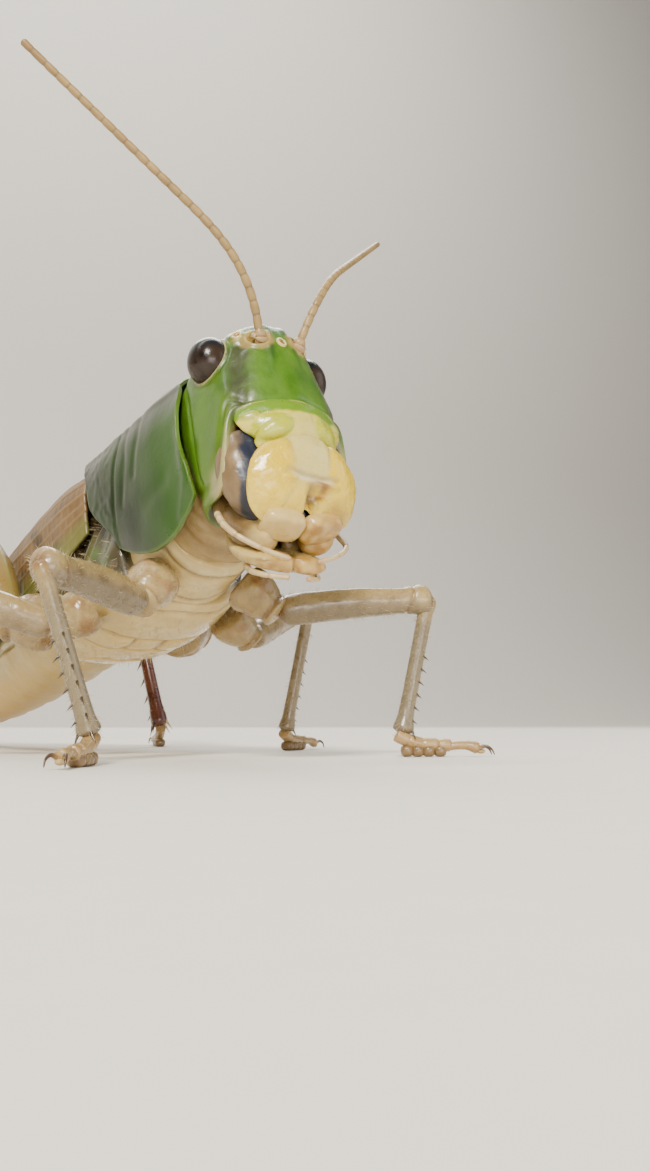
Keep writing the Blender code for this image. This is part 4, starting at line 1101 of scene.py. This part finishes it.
def abdomenZones(p, n, u, v):
    return {
        "back": ease(-1.7, -0.7, p.z + 0.15 * grain(p, 0.7, 41)),
        "purple": ease(-1.9, -1.2, p.z) * ease(0.3, -0.9, p.z + 0.3 * grain(p, 0.6, 42)),
        "stripe": ridge(p.y, p.z, ((24, -2.15), (38, -2.05), (50, -1.75)), 0.30) * (0.85 + 0.3 * grain(p, 0.8, 43)),
        "seam": max(bump(ringShare(p.y), 0.985, 0.045), bump(ringShare(p.y), 0, 0.03)),
        "yellow": ease(24, 44, p.y) * below(n),
        "last": ease(45.5, 48.6, p.y) * ease(-1.5, -2.8, p.z),
        "pore": pore(p, 0.11),
    }


def abdomenRelief(p, n, u, v):
    rise = -0.22 * sideFold(p) + 0.10 * bump(p.z, -2.75, 0.3) * ease(2, 2.6, abs(p.x)) + 0.03 * grain(p, 0.6, 44)
    return rise + 0.05 * bump(p.x, 0, 0.3) * ease(0, 1, n.z) - 0.05 * pore(p, 0.1)


def makeAbdomen():
    bm = barrel(trunk["abdomen"], 0.86, 0.8, 150, 288, ringStep, 0.012)
    emboss(bm, abdomenRelief)
    paint(bm, abdomenZones)
    place("abdomenRings", bm, bodyFrame, abdomenCuticle, "abdomen_rings", "abdomen", 50)
    bm = barrel(trunk["tail"], 0.9, 0.85, 90, 60, lambda v: 0.06 * sin(v * tau * 2), 0.08)
    emboss(bm, lambda p, n, u, v: 0.04 * grain(p, 0.5, 45))
    paint(bm, lambda p, n, u, v: {
        "back": ease(-1.6, -1, p.z), "last": 1, "tip": ease(50.2, 51.6, p.y + 0.3 * grain(p, 0.5, 46))})
    place("tailRings", bm, bodyFrame, abdomenCuticle, "abdomen_rings", "tail")
    for name, top, bottom, lift in (("upper", -0.95, -1.75, 0.45), ("lower", -1.95, -2.75, -0.35)):
        valves = []
        for side in (-1, 1):
            z = (top + bottom) / 2
            points = [(side * 0.42, 51.2, z), (side * 0.42, 52.1, z + lift * 0.25), (side * 0.30, 53.2, z + lift * 1.2)]
            valves.append(tubeAlong(points, lambda v: (0.42 - 0.30 * v) * roundEnds(v, 0.08) + 0.004, 24, 30))
        bm = join(valves)
        paint(bm, lambda p, n, u, v: {"dark": ease(51.9, 53, p.y)})
        place(f"{name}Valves", bm, bodyFrame, clawHorn, "claws", f"ovipositor_{name}")
    for side, name in sides:
        points = [(side * 1.3, 51, -0.75), (side * 1.5, 52, -0.6), (side * 1.45, 52.7, -0.5)]
        bm = tubeAlong(points, lambda v: (0.30 - 0.14 * v) * roundEnds(v, 0.12) + 0.004, 20, 24)
        place(f"{name}Cercus", bm, bodyFrame, legHorn, "legs", f"cercus_{name}")


# fore wings, folded like a roof, with raised veins; rows are y, half width, lower edge and top
wing = {
    "front": 15.9, "back": 61, "overlap": 0.62,
    "rows": ((15.9, 4.2, -0.4, 4.25), (18.5, 4.7, -1.3, 4.5), (24, 4.8, -2, 4.45), (34, 4.4, -2.1, 3.95),
             (46, 3.5, -1.9, 3.1), (55, 2.5, -1.5, 2.3), (59.5, 1.5, -0.6, 1.6), (61, 0.75, 0.3, 1)),
    "veins": ((0.10, 0.03), (0.20, 0.18), (0.27, 0.30), (0.33, 0.42), (0.42, 0.53), (0.50, 0.62), (0.62, 0.71),
              (0.74, 0.80), (0.86, 0.88), (0.95, 0.95)),
}
wingLeather = cuticle("veinedWingLeather", {  # parchment-thin leathery wing, satin, smoke brown with darker spots
    "tone": "#644a2a", "mottle": "#7a5e38", "mottleSize": 2.2,
    "zones": "spot #2c1e10 0.85, vein #927648 0.75, green #5c6a20 0.6, clear #8c7650 0.6",
    "roughness": (0.34, 0.5), "fine": (0.09, 0.010), "wide": (0.6, 0.04), "coat": 0.12, "glow": 0.02,
})


def wingPlace(side, over):
    def at(u, v):
        y = wing["front"] + (wing["back"] - wing["front"]) * v
        halfWidth, low, top = table(wing["rows"], y)
        top += over * wing["overlap"] * ease(0.35, 0.7, u)
        middle = low + (top - low) * 0.45
        if u < 0.3:
            x, z = halfWidth, low + (middle - low) * u / 0.3
        elif u < 0.85:
            angle = (u - 0.3) / 0.55 * pi / 2
            x, z = halfWidth * max(0, cos(angle)) ** 0.8, middle + (top - middle) * sin(angle) ** 0.8
        else:
            x, z = -0.22 * halfWidth * (u - 0.85) / 0.15, top
        return Vector((side * x, y, z))
    return at


def veinAt(u, v):
    lines = [a + (b - a) * ease(-0.1, 1, v) for a, b in wing["veins"]]
    main = max(bump(u, line, 0.006) for line in lines)
    cell = sum(u > line for line in lines)
    cross = bump((v * 70 + cell * 0.37) % 1, 0.5, 0.09)
    return main, cross


def wingZones(p, n, u, v):
    main, cross = veinAt(u, v)
    cloud = grain((p.x, p.y * 0.6, p.z), 1.15, 71) + 0.12 * grain(p, 0.6, 72)
    return {
        "vein": max(main, 0.55 * cross),
        "spot": ease(0.10, 0.42, cloud) * ease(0.02, 0.1, v) * ease(0.05, 0.15, u),
        "green": ease(0.22, 0.08, u) * ease(0.5, 0.2, v),
        "clear": ease(0.55, 0.9, v),
    }


def makeWings():
    for side, name, over in ((-1, "right", 0), (1, "left", 1)):
        bm = skin(120, 330, wingPlace(side, over), closed=False)
        if side > 0:
            bmesh.ops.reverse_faces(bm, faces=bm.faces)
        emboss(bm, lambda p, n, u, v: max(0.075 * veinAt(u, v)[0], 0.035 * veinAt(u, v)[1]))
        paint(bm, wingZones)
        piece = place(f"{name}ForeWing", bm, bodyFrame, wingLeather, "fore_wings", f"tegmen_{name}")
        thicken(piece, 0.22)


# legs: hip joint and its radii, then lengths of the parts, height of the ankle and where the knee leans
legs = {
    "fore": {"coxa": ((2.7, 10.9, -4.7), (4.1, 10.2, -6.3)), "radii": (1.35, 0.95), "femur": 8.8, "tibia": 7.8,
             "foot": 4.7, "ankle": 1.25, "lean": (0.55, -0.15, 1)},
    "mid": {"coxa": ((4.4, 15.9, -4.9), (6.1, 16.4, -5.9)), "radii": (1.35, 0.95), "femur": 9.6, "tibia": 8.8,
            "foot": 5, "ankle": 1.25, "lean": (0.45, 0.1, 1)},
    "hind": {"coxa": ((4.3, 22, -3.8), (6.3, 23.4, -3.3)), "radii": (1.75, 1.3), "femur": 25, "tibia": 21.5,
             "foot": 7.4, "ankle": 1.5, "lean": (0.08, 0.8, 1)},
}
# where each foot stands and which way it points
feet = {
    ("fore", "right"): ((-8.8, 3.2), (-0.62, -0.78)), ("fore", "left"): ((10.4, 5.4), (0.84, -0.54)),
    ("mid", "right"): ((-13.2, 18.8), (-0.94, 0.34)), ("mid", "left"): ((12.6, 20.6), (0.86, 0.51)),
    ("hind", "right"): ((-10.8, 38.6), (-0.30, 0.95)), ("hind", "left"): ((11.4, 37), (0.38, 0.92)),
}
hindKnee = {"right": (-9.2, 44.2, 21.3), "left": (9.4, 43.6, 21.6)}
# rows of limbs: share of the length, half depth, half thickness, offset
femurRows = ((0, 0.62, 0.62, 0), (0.05, 0.80, 0.78, 0), (0.12, 0.88, 0.82, 0), (0.45, 0.86, 0.76, 0.08),
             (0.78, 0.74, 0.66, 0), (0.88, 0.84, 0.74, 0), (0.95, 0.86, 0.74, -0.05), (1, 0.60, 0.58, -0.12))
hindFemurRows = ((0, 1, 0.9, 0), (0.07, 1.9, 1.35, 0.15), (0.2, 2.6, 1.55, 0.35), (0.38, 2.45, 1.45, 0.35),
                 (0.58, 1.6, 1.1, 0.2), (0.78, 0.98, 0.8, 0), (0.88, 0.95, 0.75, 0), (0.94, 1.25, 0.85, -0.05),
                 (0.98, 1.18, 0.8, -0.1), (1, 0.8, 0.6, -0.1))
tibiaRows = ((0, 0.42, 0.38, -0.05), (0.07, 0.52, 0.46, 0), (0.14, 0.44, 0.40, 0), (0.6, 0.42, 0.40, 0),
             (0.88, 0.46, 0.44, 0), (0.97, 0.60, 0.56, 0), (1, 0.5, 0.46, 0))
hindTibiaRows = ((0, 0.60, 0.45, 0), (0.03, 0.68, 0.55, 0), (0.09, 0.55, 0.48, 0), (0.5, 0.52, 0.47, 0),
                 (0.9, 0.6, 0.52, 0), (0.97, 0.74, 0.66, 0), (1, 0.6, 0.55, 0))


def along(start, end, bend):
    z = (end - start).normalized()
    x = (bend - z * bend.dot(z)).normalized()
    return Matrix.Translation(start) @ Matrix((x, z.cross(x), z)).transposed().to_4x4()


def kneeOf(hip, ankle, femur, tibia, lean):
    reach = ankle - hip
    axis = reach.normalized()
    foot = (femur**2 - tibia**2 + reach.length**2) / (2 * reach.length)
    height = sqrt(max(0, femur**2 - foot**2))
    return hip + axis * foot + (lean - axis * lean.dot(axis)).normalized() * height


def limb(length, rows, columns, count, endRound):
    def at(u, v):
        depth, thickness, offset = table(rows, v)
        close = roundEnds(v, endRound)
        angle = tau * u
        return Vector((offset + depth * close * cos(angle), thickness * close * sin(angle), v * length))
    return skin(columns, count, at)


def spikes(spots, corners):
    # a cone at each (foot point, direction, length, radius)
    bm = bmesh.new()
    for point, heading, length, radius in spots:
        heading = Vector(heading).normalized()
        where = aimed(Vector(point) + heading * length / 2, heading)
        bmesh.ops.create_cone(bm, cap_ends=False, segments=corners, radius1=radius, radius2=radius * 0.06,
                              depth=length, matrix=where)
    whole, tip = bm.verts.layers.float.new("spine"), bm.verts.layers.float.new("tip")
    for k, vertex in enumerate(bm.verts):
        vertex[whole] = 1
        vertex[tip] = 1 if k % (2 * corners) >= corners else 0
    return bm


hairRadius = 0.014


def hairSpots(bm, count, length, seed, keep=None, lay=(0, 0, 1)):
    # places for hairs over a mesh, more on larger faces
    draw = random.Random(seed)

    def scatter(reach):
        return Vector([draw.uniform(-reach, reach) for _ in range(3)])

    faces = list(bm.faces)
    sizes = [face.calc_area() for face in faces]
    places = []
    for face in draw.choices(faces, sizes, k=count):
        point = face.calc_center_median() + scatter(0.1)
        if keep and not keep(point, face.normal):
            continue
        point = point - face.normal * face.normal.dot(point - face.calc_center_median())
        heading = face.normal + Vector(lay) * 0.6 + scatter(0.3)
        places.append((point, heading, length * draw.uniform(0.6, 1.3), hairRadius))
    return places


hairCoats = []


def addHairs(bm, frameOfPiece, count, length, seed, **settings):
    coat = spikes(hairSpots(bm, count, length, seed, **settings), 3)
    coat.transform(frameOfPiece)
    hairCoats.append(coat)


def keels(u, lines, width):
    # nearness to each of a few long edges around a limb
    return [bump((u - line + 0.5) % 1, 0.5, width) for line in lines]


thighKeels = (0, 0.115, 0.385, 0.5, 0.615, 0.885)


def herringbone(u, v):
    # ridges that meet in a V along the middle of the thigh's outer and inner faces
    across = abs((u * 2) % 1 - 0.5)
    field = ease(0.30, 0.22, across) * ease(0.05, 0.12, v) * ease(0.86, 0.78, v)
    wave = sin((v * 34 - across * 9) * tau)
    return field, wave


def makeFemur(pair, name, length, where, hind, seed):
    if hind:
        bm = limb(length, hindFemurRows, 72, 260, 0.03)
        emboss(bm, lambda p, n, u, v: herringbone(u, v)[0] * (0.038 * herringbone(u, v)[1] - 0.05)
               + 0.10 * sum(keels(u, thighKeels, 0.012)) * ease(0.04, 0.12, v) * ease(0.9, 0.82, v)
               - 0.14 * bump(v, 0.895, 0.006))
        paint(bm, lambda p, n, u, v: {
            "tan": ease(0.10, 0.42, p.x / 2.4 + 0.1 * grain(p, 0.8, 51)) * 0.9,
            "groove": 0.8 * herringbone(u, v)[0] * ease(0.2, -0.8, herringbone(u, v)[1]),
            "keel": max(keels(u, thighKeels, 0.014)),
            "knee": ease(0.89, 0.95, v),
            "pale": bump(v, 0.87, 0.012),
        })
        material, slot = thighShell, "hind_thighs"
    else:
        bm = limb(length, femurRows, 48, 120, 0.06)
        emboss(bm, lambda p, n, u, v: 0.04 * sum(keels(u, (0.08, 0.42, 0.58, 0.92), 0.03)) * ease(0.1, 0.2, v)
               * ease(0.85, 0.75, v) - 0.09 * bump(v, 0.845 + 0.03 * cos(tau * u), 0.012) + 0.03 * grain(p, 0.6, seed))
        paint(bm, lambda p, n, u, v: {
            "belly": ease(0, 0.6, p.x),
            "grey": (0.9 if pair == "fore" else 0.35) * ease(0.25, -0.3, p.x + 0.4 * grain(p, 0.8, seed + 1)),
            "joint": max(ease(0.955, 1, v), ease(0.05, 0, v), bump(v, 0.845 + 0.03 * cos(tau * u), 0.01)),
            "oval": bump(hypot((v - 0.91) / 0.05, ((u * 2) % 1 - 0.5) / 0.2), 0, 0.9),
        })
        material, slot = legHorn, "legs"
    bm.normal_update()
    addHairs(bm, where, 260 if hind else 240, 0.30, seed)
    place(f"{name}{pair.capitalize()}Femur", bm, floorFrame @ where, material, slot, f"{pair}_femur_{name}")


def makeTibia(pair, name, length, where, hind, seed):
    if hind:
        bm = limb(length, hindTibiaRows, 32, 150, 0.02)
        spots = []
        for k in range(11):
            z = length * (0.24 + 0.068 * k)
            for out in (-1, 1):
                spots.append(((-0.42, out * 0.30, z + 0.25 * (out > 0)), (-0.75, out * 0.42, 0.55), 0.95, 0.13))
        for x, out in ((-0.5, 1), (-0.5, -1), (0.35, 1), (0.35, -1)):
            spots.append(((x, out * 0.42, length * 0.975), (x * 0.5, out * 0.4, 1), 1.05, 0.13))
        paint(bm, lambda p, n, u, v: {"pale": bump(v, 0.085, 0.02)})
        material, slot = shinHorn, "hind_shins"
    else:
        bm = limb(length, tibiaRows, 36, 120, 0.04)
        spots = []
        for k in range(6):
            z = length * (0.42 + 0.09 * k)
            for out in (-1, 1):
                spots.append(((0.30, out * 0.26, z + 0.2 * (out > 0)), (0.75, out * 0.45, 0.5), 0.42, 0.07))
        for out in (-1, 1):
            spots.append(((0.42, out * 0.32, length * 0.97), (0.5, out * 0.45, 0.9), 0.6, 0.08))
        # painted shade: a bluish grey over the tibia beyond its base, strong on the fore pair and faint on the mid pair
        paint(bm, lambda p, n, u, v: {
            "belly": ease(0, 0.5, p.x), "blue": (0.9 if pair == "fore" else 0.3) * ease(0.1, 0.3, v),
            "joint": max(ease(0.07, 0, v), ease(0.965, 1, v)), "grey": 0.3,
            "brown": ease(0.12, 0, v) * 0.6,
        })
        material, slot = legHorn, "legs"
    bm.normal_update()
    addHairs(bm, where, 320 if hind else 220, 0.34, seed + 7)
    bm = join([bm, spikes(spots, 8)])
    place(f"{name}{pair.capitalize()}Tibia", bm, floorFrame @ where, material, slot, f"{pair}_tibia_{name}")


clawRows = ((0.14, -0.08, 0.45), (0.30, 0.30, 0.58), (0.40, 0.62, 0.42), (0.42, 0.78, 0.10))


def makeFoot(pair, name, length, ankle, where, seed):
    reach = length - 0.45
    parts = [
        tubeAlong([(0, -0.35, ankle), (0, 0.1, ankle - 0.25), (0, reach * 0.22, 0.72), (0, reach * 0.48, 0.66)],
                  lambda v: (0.40 - 0.06 * v) * roundEnds(v, 0.1) * (1 - 0.10 * joints(v, (0.45, 0.72), 0.02)) + 0.004,
                  24, 60, (1, 0, 0)),
        tubeAlong([(0, reach * 0.45, 0.62), (0, reach * 0.55, 0.64), (0, reach * 0.64, 0.60)],
                  lambda v: 0.34 * roundEnds(v, 0.25) + 0.004, 24, 24, (1, 0, 0)),
        tubeAlong([(0, reach * 0.60, 0.56), (0, reach * 0.72, 0.62), (0, reach * 0.86, 0.60), (0, reach, 0.44)],
                  lambda v: (0.23 + 0.10 * ease(0.5, 1, v)) * roundEnds(v, 0.12) + 0.004, 24, 40, (1, 0, 0)),
    ]
    cushions = [("padEdge", reach + 0.08, 0.30, (0.20, 0.26, 0.14), 1, 18)]
    for share, size in ((0.03, 1), (0.17, 1), (0.31, 1.05), (0.46, 0.95)):
        cushions.append(("pad", reach * share + 0.12, 0.32, (0.42 * size, max(0.34, reach * 0.082), 0.32), 0.7, 22))
    for zone, y, z, radii, exponent, columns in cushions:
        parts.append(pillow((0, y, z), radii, exponent, columns, 12))
        paint(parts[-1], lambda p, n, u, v, zone=zone: {zone: 1})
    for side in (-1, 1):
        hook = [(side * x, reach + y, z) for x, y, z in clawRows]
        claw = tubeAlong(hook, lambda v: 0.125 * (1 - 0.85 * v) * roundEnds(v, 0.1) + 0.003, 14, 30, (1, 0, 0))
        paint(claw, lambda p, n, u, v: {"claw": ease(0, 0.45, v)})
        parts.append(claw)
    bm = join(parts)
    for vertex in bm.verts:
        vertex.co.z = max(0, vertex.co.z)
    bm.normal_update()
    addHairs(bm, where, 110, 0.20, seed + 13, lay=(0, 0.6, 0), keep=lambda p, n: p.z > 0.35)
    place(f"{name}{pair.capitalize()}Foot", bm, floorFrame @ where, footHorn, "feet", f"{pair}_tarsus_{name}")


def makeLeg(pair, name, seed):
    leg, side, hind = legs[pair], (-1 if name == "right" else 1), pair == "hind"
    root, hip = (bodyTurn @ (mirrored(side) @ Vector(point)) for point in leg["coxa"])
    (footX, footY), heading = feet[pair, name]
    ankle = Vector((footX, footY, leg["ankle"]))
    lean = mirrored(side) @ Vector(leg["lean"])
    if hind:
        knee = hip + (Vector(hindKnee[name]) - hip).normalized() * leg["femur"]
    else:
        knee = kneeOf(hip, ankle, leg["femur"], leg["tibia"], lean)
    wide, narrow = leg["radii"]
    rows = [(share, size, size, 0) for share, size in (
        (0, wide * 0.9), (0.3, wide), (0.66, narrow * 1.12), (0.8, narrow * 0.9), (0.9, narrow * 1.04),
        (1, narrow * 0.82))]
    inward = root - (hip - root) * 0.15
    where = along(inward, hip + (hip - root).normalized() * 0.35, lean)
    bm = limb((hip - inward).length + 0.35, rows, 56, 70, 0.12)
    emboss(bm, lambda p, n, u, v: 0.10 * grain(p, 0.9, seed + 3) + 0.03 * grain(p, 0.3, seed + 4))
    paint(bm, lambda p, n, u, v: {
        "brown": ease(0.05, 0.35, grain(p, 0.9, seed + 5)) * ease(0.65, 0.5, v), "joint": bump(v, 0.79, 0.03),
        "belly": 0.8, "oval": ease(0.1, 0.4, grain(p, 0.7, seed + 6)) * 0.6,
    })
    addHairs(bm, where, 120, 0.30, seed + 17, lay=(0, 0, 0.6))
    place(f"{name}{pair.capitalize()}Coxa", bm, floorFrame @ where, legHorn, "legs", f"{pair}_coxa_{name}")

    thigh, shin = (knee - hip), (ankle - knee)
    start, end = hip + thigh.normalized() * 0.05, knee + thigh.normalized() * (0.55 if hind else 0.30)
    up = -thigh.cross(shin).cross(thigh)
    makeFemur(pair, name, (end - start).length, along(start, end, up), hind, seed)
    back = -thigh + shin * thigh.dot(shin) / shin.length_squared
    start = knee - shin.normalized() * 0.25
    makeTibia(pair, name, (ankle - start).length, along(start, ankle, back if hind else -back), hind, seed)
    ahead = Vector((*heading, 0)).normalized()
    axes = Matrix((ahead.cross(Vector((0, 0, 1))), ahead, (0, 0, 1))).transposed().to_4x4()
    where = shift(footX, footY, 0) @ axes
    makeFoot(pair, name, leg["foot"], leg["ankle"], where, seed)


makeTrunk()
print("trunk made")
makeAbdomen()
print("abdomen made")
makeWings()
print("wings made")
for number, (pairName, sideName) in enumerate(feet):
    makeLeg(pairName, sideName, 100 + 20 * number)
print("legs made")
place("fineHairs", join(hairCoats), floorFrame, bristle, "legs")
print("hairs made")
